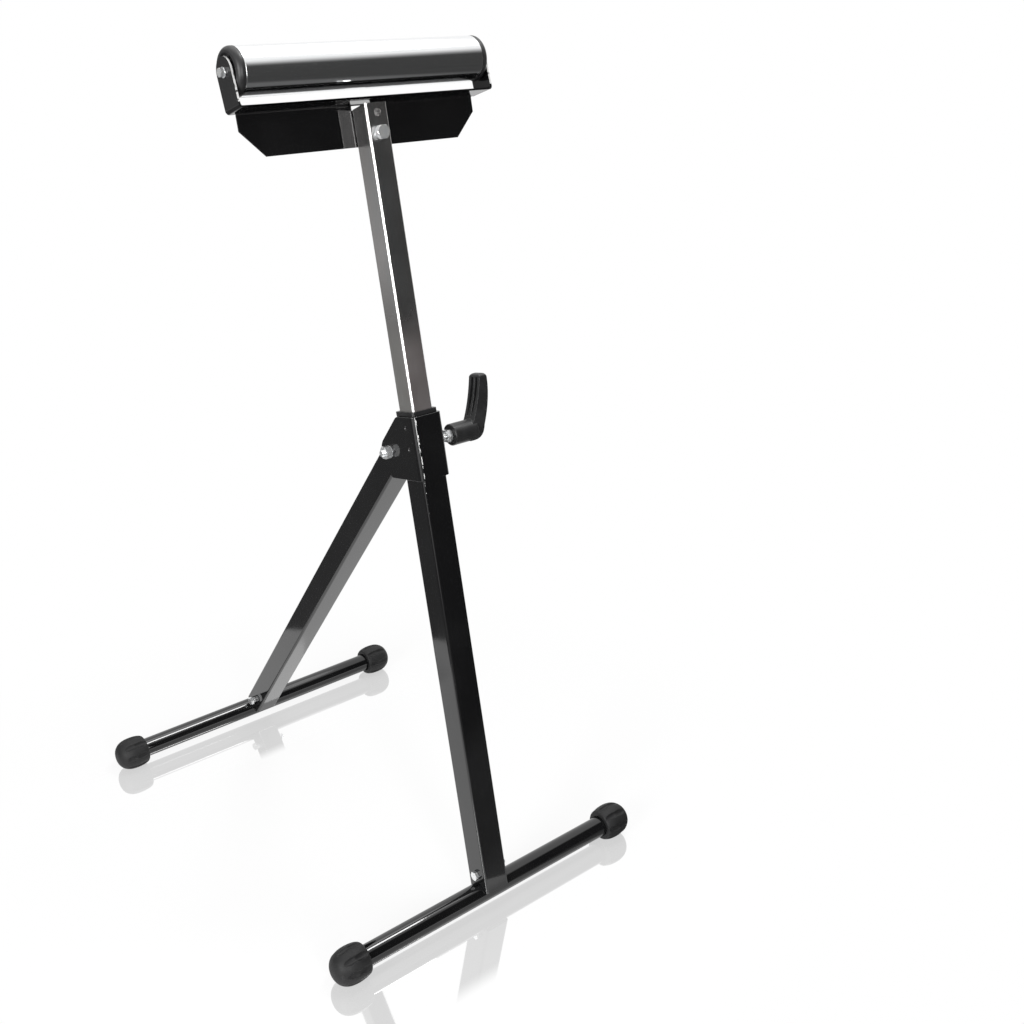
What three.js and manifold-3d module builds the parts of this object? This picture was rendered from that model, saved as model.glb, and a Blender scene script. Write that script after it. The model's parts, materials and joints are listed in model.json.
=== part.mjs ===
// A folding roller stand. Two hinged legs on crossbars carry a clamped telescopic mast,
// and the mast carries a free-turning roller and a guide plate.
// Millimetres, +Z up, X along the roller, front foot towards -Y.
// The origin lies on the floor, midway between the two crossbars.

import * as THREE from 'three';
import { mergeVertices } from 'three/addons/utils/BufferGeometryUtils.js';
import Module from 'manifold-3d';

const wasm = await Module();
wasm.setup();

// Clearances
const fitGap = 0.3; // between pieces that seat on, slide in or turn in each other
const boreGap = 0.3; // round a bolt, screw or axle in its hole

// Feet and crossbars
const footSpread = 527.5; // front crossbar axis to rear crossbar axis
const frontCrossbarLength = 416;
const rearCrossbarLength = 424;
const crossbarDiameter = 25;
const crossbarWall = 1.5;
const footCapDiameter = 42;
const footCapLength = 40;
const footCapEnd = 8.2; // rubber beyond the end of the tube
const footCapMouth = 33; // outside diameter at the open end
const footCapBelly = 16; // from the open end to the widest ring
const footCapSquareness = 2.5; // exponent of the domed end, 2 is an ellipse
const footFlat = 0.5; // depth of the flat worn on the floor side
const footFlutes = 8;
const footFluteDepth = 2.2;
const footFluteStart = 4; // from the open end
const footFluteLength = 27;
const footFluteTurn = 9; // degrees from the floor side to the first flute
const footFluteSharpness = 4; // a larger number makes each flute narrower

// Mast and the front leg that it slides in
const mastSide = 26;
const mastWall = 1.5;
const mastCorner = 2.5;
const mastCut = 8.5; // degrees that the cut top rises towards the front
const mastLength = 540;
const mastShown = 315.4; // from the top of the front leg to the top of the mast, as it stands
const bushWall = 0.9;
const bushSleeve = 60;
const bushFlange = 4.2;
const plugFlange = 4;
const plugSpigot = 20;
const plugWall = 2;
const frontLegTilt = 11.93; // degrees from upright
const frontLegStart = 3.6; // lower end above the crossbar axis
const frontLegLength = 560;
const frontLegWall = 1.5;
const frontLegCorner = 2.5;

// Pivot bracket and rear leg
const bracketSheet = 3;
const bracketHeight = 69;
const bracketBend = 6; // outside radius of its two front bends
const pivotDrop = 39.1; // pivot below the top of the front leg
const pivotSideGap = 1.3; // rear leg to each cheek
const foldGap = 2; // between the folded legs
const cheekLip = 1; // cheek beyond the rear leg's upper face
const cheekHeel = 4.5; // lower edge of the cheek beyond the pivot line
const cheekCorner = 4; // length of each rounded corner along its edges
const rearLegWall = 1.5;
const rearLegCorner = 2.5;
const rearLegStart = 6;
const mitreRelief = 15; // degrees, second cut on the rear leg's top corner
const pivotBoltProud = 3;

// Joint of each leg and its crossbar
const stubWall = 2;
const stubStart = 5;
const stubTop = 45;
const footBoltHeight = 23; // above the crossbar axis
const frontBoltProud = 4;
const rearBoltProud = 4;
const rearSpacerLength = 4; // sleeve under the head of the rear foot bolt
const rearSpacerDiameter = 8;

// Clamp
const clampDrop = 32.2; // clamp axis below the top of the front leg
const clampThread = 8;
const clampNutAcross = 13;
const clampNutHeight = 6.5;
const lockNutHeight = 6;
const padThickness = 1.4;
const knobStandoff = 19.2; // barrel to bracket
const knobBarrelDiameter = 24;
const knobBarrelLength = 32;
const knobScrewDepth = 20;
const knobArmWidth = 19;
const knobArmHeight = 59; // above the clamp axis
const knobArmReach = 54; // outermost point beyond the near end of the barrel
const knobTipThickness = 10.8;
const knobInnerBow = 5.5; // bow of the arm's inner edge
const knobRootInset = 4; // root of the arm before the far end of the barrel
const knobRootSink = 1.2; // root of the arm inside the barrel
const knobEdge = 2; // rounding of the arm's long edges
const knobArmLean = 12; // outward lean of the arm over its height
const knobGrooveWidth = 4.4;
const knobGrooveDepth = 2.2;
const knobRibWidth = 3;
const knobGrooveRim = 4; // solid tip of the arm above its grooves

// Head bracket, a single bent sheet with two ears and a guide plate
const headSheet = 2;
const headBend = 4;
const strapWidth = 28.6;
const strapTilt = 6.5; // degrees that the strap rises towards the front
const headGap = 0.8; // top of the mast to the rear edge of the strap
const guideInset = 9.5; // each end of the guide plate, inside the outer face of an ear
const guideDrop = 39.7; // lower edge of the guide plate below the top of the mast
const guideChamfer = 25;
const windowWidth = 25;
const windowDrop = 4; // lower edge of the window below the top of the mast
const windowHeight = 7.4;
const headBoltDrop = 29; // below the top of the mast
const headBoltProud = 4;
const spareHoleDrop = 9.3; // below the top of the mast
const spareHoleDiameter = 7.7;

// Roller
const rollerDiameter = 46.5;
const rollerWall = 1.5;
const rollerLength = 279;
const rollerLift = 10.6; // roller to strap
const rollerCapProud = 8;
const rollerCapShoulder = 5.5;
const rollerCapSkirt = 12;
const rollerCapWall = 2;
const rollerCapDish = 2; // depth of the dished hub
const rollerCapDishDiameter = 30;
const earGap = 1;
const axleDiameter = 10;
const axleTapDepth = 22;
const bearingDiameter = 26;
const bearingWidth = 8;
const bearingGroove = 0.6;
const bearingRing = 2.4; // wall of the inner and outer rings
const axleThread = 5;
const axleBoltAcross = 8;
const axleBoltHead = 3.5;
const axleBoltLength = 20;
const axleWasher = 1;
const axleWasherDiameter = 10;

// Fasteners, a small and a large thread
const smallThread = 6;
const smallAcross = 10;
const smallHead = 4;
const smallNut = 5;
const hexBreak = 0.6; // slope of the broken corners of heads and nuts
const boltTip = 0.125; // chamfered end of a bolt, as a share of its thread
const largeThread = 8;
const largeAcross = 13;
const largeHead = 5.3;
const largeNut = 6.5;
const largeWasher = 1.2;
const largeWasherDiameter = 13.5;

// Facet counts
const tubeSides = 32;
const rollerSides = 40;
const boltSides = 16;
const bearingSides = 24;
const cornerSteps = 3;
const knobSteps = 6; // facets for each curve of the knob's arm
const knobEdgeSteps = 2; // facets for the rounding of its long edges
const fluteSteps = 5; // facets for each flute round a foot cap
const capRings = 4; // rings on each half of a foot cap

// Sizes that follow from the ones above
const frontLegSide = mastSide + 2 * (fitGap + bushWall + fitGap + frontLegWall);
const frontLegHalf = frontLegSide / 2;
const frontLegBore = frontLegSide - 2 * frontLegWall;
const frontLegTop = frontLegStart + frontLegLength;
const mastHalf = mastSide / 2;
const mastTop = frontLegTop + mastShown;
const mastBottom = mastTop - mastLength;
const axisHeight = footCapDiameter / 2 - footFlat;
const cheekInner = frontLegHalf + fitGap;
const cheekOuter = cheekInner + bracketSheet;
const rearLegSide = 2 * (cheekInner - pivotSideGap);
const pivotOffset = frontLegHalf + foldGap + rearLegSide / 2;
const pivotHeight = frontLegTop - pivotDrop;
const bracketBottom = frontLegTop - bracketHeight;
const cheekNose = rearLegSide / 2 + cheekLip;
const clampHeight = frontLegTop - clampDrop;
const clampHole = clampThread + 2 * fitGap;
const knobStart = cheekOuter + knobStandoff;
const guideFront = mastHalf + fitGap;
const guideBottom = mastTop - guideDrop;
const rollerRadius = rollerDiameter / 2;
const earInner = rollerLength / 2 + rollerCapProud + earGap;
const earOuter = earInner + headSheet;
const guideWidth = 2 * (earOuter - guideInset);
const headBoltHeight = mastTop - headBoltDrop;

// The strap and its ears while they still lie level, and the roller's axis once they are tilted
// about the rear edge of the strap's underside
const strapRear = guideFront + headSheet;
const strapFront = strapRear - strapWidth;
const strapBottom = mastTop + headGap;
const strapTop = strapBottom + headSheet;
const earMiddle = (strapFront + strapRear) / 2;
const earHeight = strapTop + rollerLift + rollerRadius;
const strapLean = THREE.MathUtils.degToRad(strapTilt);
const strapEdge = new THREE.Vector2(strapRear, strapBottom);
const rollerAxis = new THREE.Vector2(earMiddle, earHeight).rotateAround(strapEdge, -strapLean);
const cutReach = 400; // longer than any cut made with it

// The pivot in the stand's own frame, and the lean of the rear leg that follows from it
const frontLean = THREE.MathUtils.degToRad(frontLegTilt);
const pivotPoint = new THREE.Vector2(
  -footSpread / 2 + pivotHeight * Math.sin(frontLean) + pivotOffset * Math.cos(frontLean),
  pivotHeight * Math.cos(frontLean) - pivotOffset * Math.sin(frontLean),
);
const rearLean = Math.atan2(footSpread / 2 - pivotPoint.x, pivotPoint.y);
const rearPivotHeight = Math.hypot(footSpread / 2 - pivotPoint.x, pivotPoint.y);
const legAngle = frontLean + rearLean;

// Finishes
function finish(color, roughness, metalness) {
  return new THREE.MeshStandardMaterial({ color, roughness, metalness });
}
const blackPaint = finish(0x17181a, 0.22, 0.1);
const platedTube = finish(0x8e9194, 0.25, 1);
const chrome = finish(0xc9cccf, 0.12, 1);
const zinc = finish(0xc4c6c2, 0.3, 1);
const blackPlastic = finish(0x1c1d1f, 0.5, 0);
const rubber = finish(0x2b2c2e, 0.85, 0);
const steel = finish(0x9a9da0, 0.35, 1);

// Directions for shapes drawn in a plane and pushed along the third axis
const xAxis = new THREE.Vector3(1, 0, 0);
const yAxis = new THREE.Vector3(0, 1, 0);
const zAxis = new THREE.Vector3(0, 0, 1);
const alongX = new THREE.Matrix4().makeBasis(yAxis, zAxis, xAxis);
const alongY = new THREE.Matrix4().makeBasis(xAxis, zAxis, yAxis.clone().negate());
const turnedToX = new THREE.Matrix4().makeBasis(zAxis, xAxis, yAxis);

// A closed three.js geometry as a solid for joins and cuts
function solid(geometry) {
  const bare = new THREE.BufferGeometry();
  bare.setAttribute('position', geometry.getAttribute('position').clone());
  if (geometry.index) bare.setIndex(geometry.index.clone());
  const merged = mergeVertices(bare, 1e-4);
  return new wasm.Manifold(new wasm.Mesh({
    numProp: 3,
    vertProperties: Float32Array.from(merged.getAttribute('position').array),
    triVerts: Uint32Array.from(merged.index.array),
  }));
}

// A solid back as a three.js geometry with flat facets
function shell(body) {
  const { vertProperties, triVerts } = body.getMesh();
  const indexed = new THREE.BufferGeometry();
  indexed.setAttribute('position', new THREE.BufferAttribute(Float32Array.from(vertProperties), 3));
  indexed.setIndex(new THREE.BufferAttribute(Uint32Array.from(triVerts), 1));
  const faceted = indexed.toNonIndexed();
  faceted.computeVertexNormals();
  return faceted;
}

function piece(name, body, material) {
  const mesh = new THREE.Mesh(shell(body), material);
  mesh.name = name;
  return mesh;
}

// A flat outline pushed a distance along +Z
function pushed(shape, depth) {
  return new THREE.ExtrudeGeometry(shape, { depth, bevelEnabled: false, curveSegments: cornerSteps });
}

// An outline in (y, z) pushed along X, centred on x = 0
function slabAcross(shape, width) {
  return solid(pushed(shape, width).translate(0, 0, -width / 2).applyMatrix4(alongX));
}

// An outline in (x, z) pushed along Y between two depths
function slabBetween(shape, front, rear) {
  return solid(pushed(shape, rear - front).applyMatrix4(alongY).translate(0, rear, 0));
}

function box(low, high) {
  const size = new THREE.Vector3().subVectors(high, low);
  const middle = new THREE.Vector3().addVectors(high, low).multiplyScalar(0.5);
  return solid(new THREE.BoxGeometry(size.x, size.y, size.z).translate(middle.x, middle.y, middle.z));
}

// A round bar along X between two ends
function barAlongX(diameter, from, to, sides) {
  const bar = new THREE.CylinderGeometry(diameter / 2, diameter / 2, to - from, sides);
  return solid(bar.applyMatrix4(turnedToX).translate((from + to) / 2, 0, 0));
}

// A round bar along X at a depth y and a height z, for holes and saddles
function holeAlongX(diameter, from, to, y, z, sides = boltSides) {
  return barAlongX(diameter, from, to, sides).translate(0, y, z);
}

// A hole along Y through everything at a height z
function holeAlongY(diameter, z) {
  const bar = new THREE.CylinderGeometry(diameter / 2, diameter / 2, cutReach, boltSides);
  return solid(bar).translate(0, 0, z);
}

// A closed profile of [radius, place along X] turned about X
function turned(profile, sides) {
  const points = profile.map(([radius, along]) => new THREE.Vector2(radius, along));
  points.push(points[0].clone());
  return solid(new THREE.LatheGeometry(points, sides).applyMatrix4(turnedToX));
}

// A ring about X
function ring(inner, outer, from, to, sides) {
  const profile = [[inner / 2, from], [outer / 2, from], [outer / 2, to], [inner / 2, to]];
  return turned(profile, sides);
}

function roundedSquare(side, corner) {
  const half = side / 2;
  const shape = new THREE.Shape();
  shape.moveTo(half, -half + corner);
  shape.lineTo(half, half - corner);
  shape.absarc(half - corner, half - corner, corner, 0, Math.PI / 2);
  shape.lineTo(-half + corner, half);
  shape.absarc(-half + corner, half - corner, corner, Math.PI / 2, Math.PI);
  shape.lineTo(-half, -half + corner);
  shape.absarc(-half + corner, -half + corner, corner, Math.PI, Math.PI * 1.5);
  shape.lineTo(half - corner, -half);
  shape.absarc(half - corner, -half + corner, corner, Math.PI * 1.5, Math.PI * 2);
  return shape;
}

// A square tube along Z between two heights
function squareTube(side, wall, corner, from, to) {
  const innerCorner = Math.max(corner - wall, wall / 2);
  const outside = solid(pushed(roundedSquare(side, corner), to - from));
  const inside = solid(pushed(roundedSquare(side - 2 * wall, innerCorner), to - from + 2));
  return outside.subtract(inside.translate(0, 0, -1)).translate(0, 0, from);
}

// Everything on the far side of a plane, as a block large enough for any cut
function beyond(point, normal) {
  const block = new THREE.BoxGeometry(cutReach, cutReach, cutReach).translate(0, 0, cutReach / 2);
  const turn = new THREE.Quaternion().setFromUnitVectors(zAxis, normal.clone().normalize());
  return solid(block.applyQuaternion(turn).translate(point.x, point.y, point.z));
}

// Hexagon along X, with its corners broken at both ends
function hexagon(across, from, to) {
  const corner = across / Math.sqrt(3);
  const prism = barAlongX(2 * corner, from, to, 6);
  const broken = (corner - across / 2) * hexBreak;
  const profile = [
    [0, from],
    [across / 2, from],
    [corner, from + broken],
    [corner, to - broken],
    [across / 2, to],
    [0, to],
  ];
  return prism.intersect(turned(profile, boltSides));
}

// A bolt along X with the underside of its head at x = 0 and its shank towards +X
function hexBolt(thread, across, head, length) {
  const tip = thread * boltTip;
  const shank = turned([
    [0, -head / 2],
    [thread / 2, -head / 2],
    [thread / 2, length - tip],
    [thread / 2 - tip, length],
    [0, length],
  ], boltSides);
  return hexagon(across, -head, 0).add(shank);
}

function hexNut(thread, across, height) {
  return hexagon(across, 0, height).subtract(barAlongX(thread + 2 * boreGap, -1, height + 1, boltSides));
}

function washer(thread, diameter, thickness) {
  return ring(thread + 2 * boreGap, diameter, 0, thickness, boltSides);
}

// Radius of a foot cap at each ring, from the open end to the end of the dome
function footCapRings() {
  const mouth = footCapMouth / 2;
  const widest = footCapDiameter / 2;
  const rings = [];
  for (let step = 0; step < capRings; step += 1) {
    const turn = (step / capRings) * (Math.PI / 2);
    rings.push({
      along: footCapBelly * (1 - Math.cos(turn)),
      radius: mouth + (widest - mouth) * Math.sin(turn),
    });
  }
  const power = 2 / footCapSquareness;
  for (let step = 0; step <= capRings; step += 1) {
    const turn = (step / (capRings + 1)) * (Math.PI / 2);
    rings.push({
      along: footCapBelly + (footCapLength - footCapBelly) * Math.sin(turn) ** power,
      radius: widest * Math.cos(turn) ** power,
    });
  }
  return rings;
}

// Depth of the flutes at a place along the cap and an angle from the middle of a flute
function fluteDepth(along, angle) {
  const share = (along - footFluteStart) / footFluteLength;
  if (share <= 0 || share >= 1) return 0;
  const across = (1 + Math.cos(footFlutes * angle)) / 2;
  return footFluteDepth * Math.sin(Math.PI * share) * across ** footFluteSharpness;
}

// A fluted rubber cap along X, open at x = 0, with its floor side towards -Z and its flutes
// turned to one hand
function footCap(hand) {
  const rings = footCapRings();
  const sides = footFlutes * fluteSteps;
  const turn = hand * THREE.MathUtils.degToRad(footFluteTurn);
  const points = [];
  for (const { along, radius } of rings) {
    for (let side = 0; side < sides; side += 1) {
      const angle = (side / sides) * 2 * Math.PI;
      const reach = radius - fluteDepth(along, angle + turn);
      points.push(along, reach * Math.sin(angle), -reach * Math.cos(angle));
    }
  }
  const mouthCentre = rings.length * sides;
  const domeCentre = mouthCentre + 1;
  points.push(0, 0, 0, footCapLength, 0, 0);
  const faces = [];
  for (let side = 0; side < sides; side += 1) {
    const next = (side + 1) % sides;
    const last = (rings.length - 1) * sides;
    faces.push(mouthCentre, next, side);
    faces.push(domeCentre, last + side, last + next);
    for (let row = 0; row < rings.length - 1; row += 1) {
      const here = row * sides;
      const there = here + sides;
      faces.push(here + side, here + next, there + next);
      faces.push(here + side, there + next, there + side);
    }
  }
  const geometry = new THREE.BufferGeometry();
  geometry.setAttribute('position', new THREE.Float32BufferAttribute(points, 3));
  geometry.setIndex(faces);
  const bore = barAlongX(crossbarDiameter + 2 * fitGap, -1, footCapLength - footCapEnd, tubeSides);
  const floor = beyond(new THREE.Vector3(0, 0, -axisHeight), zAxis.clone().negate());
  return solid(geometry).subtract(bore).subtract(floor);
}

// A crossbar with a cap on each end, on its own axis
function crossbar(name, length, depth) {
  const group = new THREE.Group();
  const half = length / 2;
  const tube = ring(crossbarDiameter - 2 * crossbarWall, crossbarDiameter, -half, half, tubeSides);
  group.add(piece(`${name}_crossbar`, tube, blackPaint));
  const mouth = half + fitGap + footCapEnd - footCapLength;
  for (const [side, towards] of [['left', -1], ['right', 1]]) {
    const cap = piece(`${name}_foot_cap_${side}`, footCap(towards), rubber);
    cap.position.x = towards * mouth;
    cap.rotation.z = towards < 0 ? Math.PI : 0;
    group.add(cap);
  }
  group.position.set(0, depth, axisHeight);
  return group;
}

// Cuts that seat a leg or a stub on its crossbar and let the foot bolt through
function seatedOnCrossbar(tube) {
  const saddle = holeAlongX(crossbarDiameter + 2 * fitGap, -cutReach, cutReach, 0, 0, tubeSides);
  const bolt = holeAlongX(smallThread + 2 * boreGap, -cutReach, cutReach, 0, footBoltHeight);
  return tube.subtract(saddle).subtract(bolt);
}

function footStub(name, legBore) {
  const tube = squareTube(legBore - 2 * fitGap, stubWall, stubWall, stubStart, stubTop);
  return piece(`${name}_foot_stub`, seatedOnCrossbar(tube), steel);
}

// Bolt and nut across a leg, with the head on the left, raised by the length of any spacer
function footBolt(name, legSide, raised, proud) {
  const side = legSide / 2 + fitGap;
  const length = raised + 2 * side + smallNut + proud;
  const bolt = piece(`${name}_foot_bolt`, hexBolt(smallThread, smallAcross, smallHead, length), zinc);
  const nut = piece(`${name}_foot_nut`, hexNut(smallThread, smallAcross, smallNut), zinc);
  bolt.position.set(-side - raised, 0, footBoltHeight);
  nut.position.set(side, 0, footBoltHeight);
  return [bolt, nut];
}

// Short sleeve between the rear leg and the head of its foot bolt
function rearSpacer() {
  const sleeve = piece('rear_foot_spacer', washer(smallThread, rearSpacerDiameter, rearSpacerLength), zinc);
  sleeve.position.set(-rearLegSide / 2 - fitGap - rearSpacerLength, 0, footBoltHeight);
  return sleeve;
}

function frontLeg() {
  const tube = squareTube(frontLegSide, frontLegWall, frontLegCorner, frontLegStart, frontLegTop);
  const clamp = holeAlongX(clampHole, 0, cutReach, 0, clampHeight);
  return piece('front_leg', seatedOnCrossbar(tube).subtract(clamp), blackPaint);
}

// Plastic bush: a flange on the end of the leg and a thin sleeve round the mast
function guideBush() {
  const opening = mastSide + 2 * fitGap;
  const corner = mastCorner + fitGap;
  const low = frontLegTop - bushSleeve;
  const high = frontLegTop + fitGap + bushFlange;
  const sleeve = solid(pushed(roundedSquare(frontLegBore - 2 * fitGap, corner), high - low));
  const flange = solid(pushed(roundedSquare(frontLegSide, frontLegCorner), bushFlange));
  const inside = solid(pushed(roundedSquare(opening, corner), high - low + 2)).translate(0, 0, low - 1);
  const clamp = holeAlongX(clampHole, 0, cutReach, 0, clampHeight);
  const body = sleeve.translate(0, 0, low).add(flange.translate(0, 0, high - bushFlange));
  return piece('guide_bush', body.subtract(inside).subtract(clamp), blackPlastic);
}

// Plan of the pivot bracket: a channel round the front and sides of the leg
function bracketPlan() {
  const bend = bracketBend;
  const inside = Math.max(bracketBend - bracketSheet, fitGap);
  const rear = pivotOffset + cheekNose + 1;
  const plan = new THREE.Shape();
  plan.moveTo(-cheekOuter, rear);
  plan.lineTo(-cheekOuter, -cheekOuter + bend);
  plan.absarc(-cheekOuter + bend, -cheekOuter + bend, bend, Math.PI, Math.PI * 1.5);
  plan.lineTo(cheekOuter - bend, -cheekOuter);
  plan.absarc(cheekOuter - bend, -cheekOuter + bend, bend, Math.PI * 1.5, Math.PI * 2);
  plan.lineTo(cheekOuter, rear);
  plan.lineTo(cheekInner, rear);
  plan.lineTo(cheekInner, -cheekInner + inside);
  plan.absarc(cheekInner - inside, -cheekInner + inside, inside, 0, -Math.PI / 2, true);
  plan.lineTo(-cheekInner + inside, -cheekInner);
  plan.absarc(-cheekInner + inside, -cheekInner + inside, inside, -Math.PI / 2, -Math.PI, true);
  plan.lineTo(-cheekInner, rear);
  return plan;
}

// Adds a rounded corner to an outline that comes from one point and goes on to another
function roundCorner(outline, from, corner, to, size) {
  const near = from.clone().sub(corner).setLength(size).add(corner);
  const past = to.clone().sub(corner).setLength(size).add(corner);
  outline.lineTo(near.x, near.y);
  outline.quadraticCurveTo(corner.x, corner.y, past.x, past.y);
}

// Side view of the bracket in (y, z). Its nose is round about the pivot, and its upper
// rear edge runs along the rear leg.
function cheekOutline() {
  const pivot = new THREE.Vector2(pivotOffset, pivotHeight);
  const onNose = (angle) => new THREE.Vector2(Math.cos(angle), Math.sin(angle))
    .multiplyScalar(cheekNose)
    .add(pivot);
  const heel = new THREE.Vector2(pivotOffset + cheekHeel, bracketBottom);
  const toHeel = heel.clone().sub(pivot);
  const spread = Math.acos(Math.min(1, cheekNose / toHeel.length()));
  const lowest = Math.atan2(toHeel.y, toHeel.x) + spread;
  const upper = onNose(legAngle);
  const shoulder = new THREE.Vector2(
    upper.x - (frontLegTop - upper.y) * Math.tan(legAngle),
    frontLegTop,
  );
  const frontLow = new THREE.Vector2(-cheekOuter - 1, bracketBottom);
  const frontHigh = new THREE.Vector2(-cheekOuter - 1, frontLegTop);
  const outline = new THREE.Shape();
  outline.moveTo(frontLow.x, frontLow.y);
  roundCorner(outline, frontLow, heel, onNose(lowest), cheekCorner);
  outline.absarc(pivot.x, pivot.y, cheekNose, lowest, legAngle);
  roundCorner(outline, upper, shoulder, frontHigh, cheekCorner);
  outline.lineTo(frontHigh.x, frontHigh.y);
  return outline;
}

function pivotBracket() {
  const channel = solid(pushed(bracketPlan(), bracketHeight)).translate(0, 0, bracketBottom);
  const cheeks = slabAcross(cheekOutline(), 2 * cheekOuter + 2);
  const pivot = holeAlongX(largeThread + 2 * boreGap, -cutReach, cutReach, pivotOffset, pivotHeight);
  const clamp = holeAlongX(clampHole, 0, cutReach, 0, clampHeight);
  return piece('pivot_bracket', channel.intersect(cheeks).subtract(pivot).subtract(clamp), blackPaint);
}

// Pivot bolt through both cheeks, with its nut and threaded end on the left
function pivotFasteners() {
  const seat = cheekOuter + fitGap;
  const face = seat + largeWasher + fitGap;
  const length = 2 * face + fitGap + largeNut + pivotBoltProud;
  const bolt = piece('pivot_bolt', hexBolt(largeThread, largeAcross, largeHead, length), zinc);
  const nut = piece('pivot_nut', hexNut(largeThread, largeAcross, largeNut), zinc);
  const flat = () => washer(largeThread, largeWasherDiameter, largeWasher);
  const left = piece('pivot_washer_left', flat(), zinc);
  const right = piece('pivot_washer_right', flat(), zinc);
  bolt.rotation.z = Math.PI;
  bolt.position.x = face;
  nut.position.x = -face - largeNut;
  left.position.x = -seat - largeWasher;
  right.position.x = seat;
  const group = new THREE.Group();
  group.add(bolt, nut, left, right);
  group.position.set(0, pivotOffset, pivotHeight);
  return group;
}

// Rear leg, mitred at the top so that its end bears on the front leg when the stand is open
function rearLeg() {
  const reach = rearPivotHeight + 2 * rearLegSide;
  const tube = squareTube(rearLegSide, rearLegWall, rearLegCorner, rearLegStart, reach);
  const pivot = holeAlongX(largeThread + 2 * boreGap, -cutReach, cutReach, 0, rearPivotHeight);
  const swing = pivotOffset - frontLegHalf - fitGap;
  let body = seatedOnCrossbar(tube).subtract(pivot);
  for (const angle of [legAngle, legAngle - THREE.MathUtils.degToRad(mitreRelief)]) {
    const normal = new THREE.Vector3(0, -Math.cos(angle), Math.sin(angle));
    const point = normal.clone().multiplyScalar(swing).add(new THREE.Vector3(0, 0, rearPivotHeight));
    body = body.subtract(beyond(point, normal));
  }
  return piece('rear_leg', body, blackPaint);
}

function mastTube() {
  const tube = squareTube(mastSide, mastWall, mastCorner, mastBottom, mastTop);
  const bolt = holeAlongY(largeThread + 2 * boreGap, headBoltHeight);
  const spare = holeAlongY(spareHoleDiameter, mastTop - spareHoleDrop);
  const far = new THREE.Vector3(mastSide, 2 * mastSide, mastSide);
  const offcut = box(new THREE.Vector3(-mastSide, 0, 0), far)
    .rotate(-mastCut, 0, 0)
    .translate(0, -mastHalf, mastTop);
  return piece('mast_tube', tube.subtract(offcut).subtract(bolt).subtract(spare), platedTube);
}

// Plastic plug in the lower end of the mast, whose flange glides inside the front leg
function mastPlug() {
  const bore = mastSide - 2 * mastWall;
  const side = bore - 2 * fitGap;
  const top = mastBottom - fitGap;
  const flange = solid(pushed(roundedSquare(frontLegBore - 2 * fitGap, mastCorner), plugFlange));
  const spigot = squareTube(side, plugWall, plugWall, top - plugFlange / 2, top + plugSpigot);
  return piece('mast_end_plug', flange.translate(0, 0, top - plugFlange).add(spigot), blackPlastic);
}

// Front view of the strap and its two ears, in (x, z)
function strapOutline(top) {
  const inner = headBend - headSheet;
  const outline = new THREE.Shape();
  outline.moveTo(-earOuter, top);
  outline.lineTo(-earOuter, strapBottom + headBend);
  outline.absarc(-earOuter + headBend, strapBottom + headBend, headBend, Math.PI, Math.PI * 1.5);
  outline.lineTo(earOuter - headBend, strapBottom);
  outline.absarc(earOuter - headBend, strapBottom + headBend, headBend, Math.PI * 1.5, Math.PI * 2);
  outline.lineTo(earOuter, top);
  outline.lineTo(earInner, top);
  outline.lineTo(earInner, strapBottom + headBend);
  outline.absarc(earOuter - headBend, strapBottom + headBend, inner, 0, -Math.PI / 2, true);
  outline.lineTo(-earOuter + headBend, strapTop);
  outline.absarc(-earOuter + headBend, strapBottom + headBend, inner, -Math.PI / 2, -Math.PI, true);
  outline.lineTo(-earInner, top);
  return outline;
}

// Side view of an ear, in (y, z), round at the top about the hole of the axle
function earOutline() {
  const outline = new THREE.Shape();
  outline.moveTo(strapFront, strapBottom - 1);
  outline.lineTo(strapRear, strapBottom - 1);
  outline.lineTo(strapRear, earHeight);
  outline.absarc(earMiddle, earHeight, strapWidth / 2, 0, Math.PI);
  return outline;
}

// Section through the strap and the guide plate, in (y, z)
function guideSection() {
  const inner = headBend - headSheet;
  const turn = Math.PI / 2 - strapLean;
  const up = new THREE.Vector2(Math.cos(turn), Math.sin(turn));
  const bendY = strapRear - headBend;
  const bendZ = strapBottom + (headBend * up.x - inner) / up.y;
  const front = new THREE.Vector2(strapFront, strapBottom).rotateAround(strapEdge, -strapLean);
  const section = new THREE.Shape();
  section.moveTo(front.x, front.y);
  section.lineTo(bendY + inner * up.x, bendZ + inner * up.y);
  section.absarc(bendY, bendZ, inner, turn, 0, true);
  section.lineTo(guideFront, guideBottom);
  section.lineTo(strapRear, guideBottom);
  section.lineTo(strapRear, bendZ);
  section.absarc(bendY, bendZ, headBend, 0, turn);
  section.lineTo(front.x + headSheet * up.x, front.y + headSheet * up.y);
  return section;
}

// A level solid tilted with the strap
function tilted(body) {
  return body
    .translate(0, -strapEdge.x, -strapEdge.y)
    .rotate(-strapTilt, 0, 0)
    .translate(0, strapEdge.x, strapEdge.y);
}

function headBracket() {
  const level = slabBetween(strapOutline(earHeight + strapWidth), strapFront, strapRear)
    .intersect(slabAcross(earOutline(), 2 * earOuter + 2));
  let guide = slabAcross(guideSection(), guideWidth);
  for (const side of [-1, 1]) {
    const corner = new THREE.Vector3(side * (guideWidth / 2 - guideChamfer), 0, guideBottom);
    guide = guide.subtract(beyond(corner, new THREE.Vector3(side, 0, -1)));
  }
  const body = tilted(level).add(guide);
  const window = box(
    new THREE.Vector3(-windowWidth / 2, mastHalf, mastTop - windowDrop),
    new THREE.Vector3(windowWidth / 2, strapRear + headBend, mastTop - windowDrop + windowHeight),
  );
  const axle = holeAlongX(axleThread + 2 * boreGap, -cutReach, cutReach, rollerAxis.x, rollerAxis.y);
  const bolt = holeAlongY(largeThread + 2 * boreGap, headBoltHeight);
  return piece('head_bracket', body.subtract(window).subtract(axle).subtract(bolt), blackPaint);
}

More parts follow.
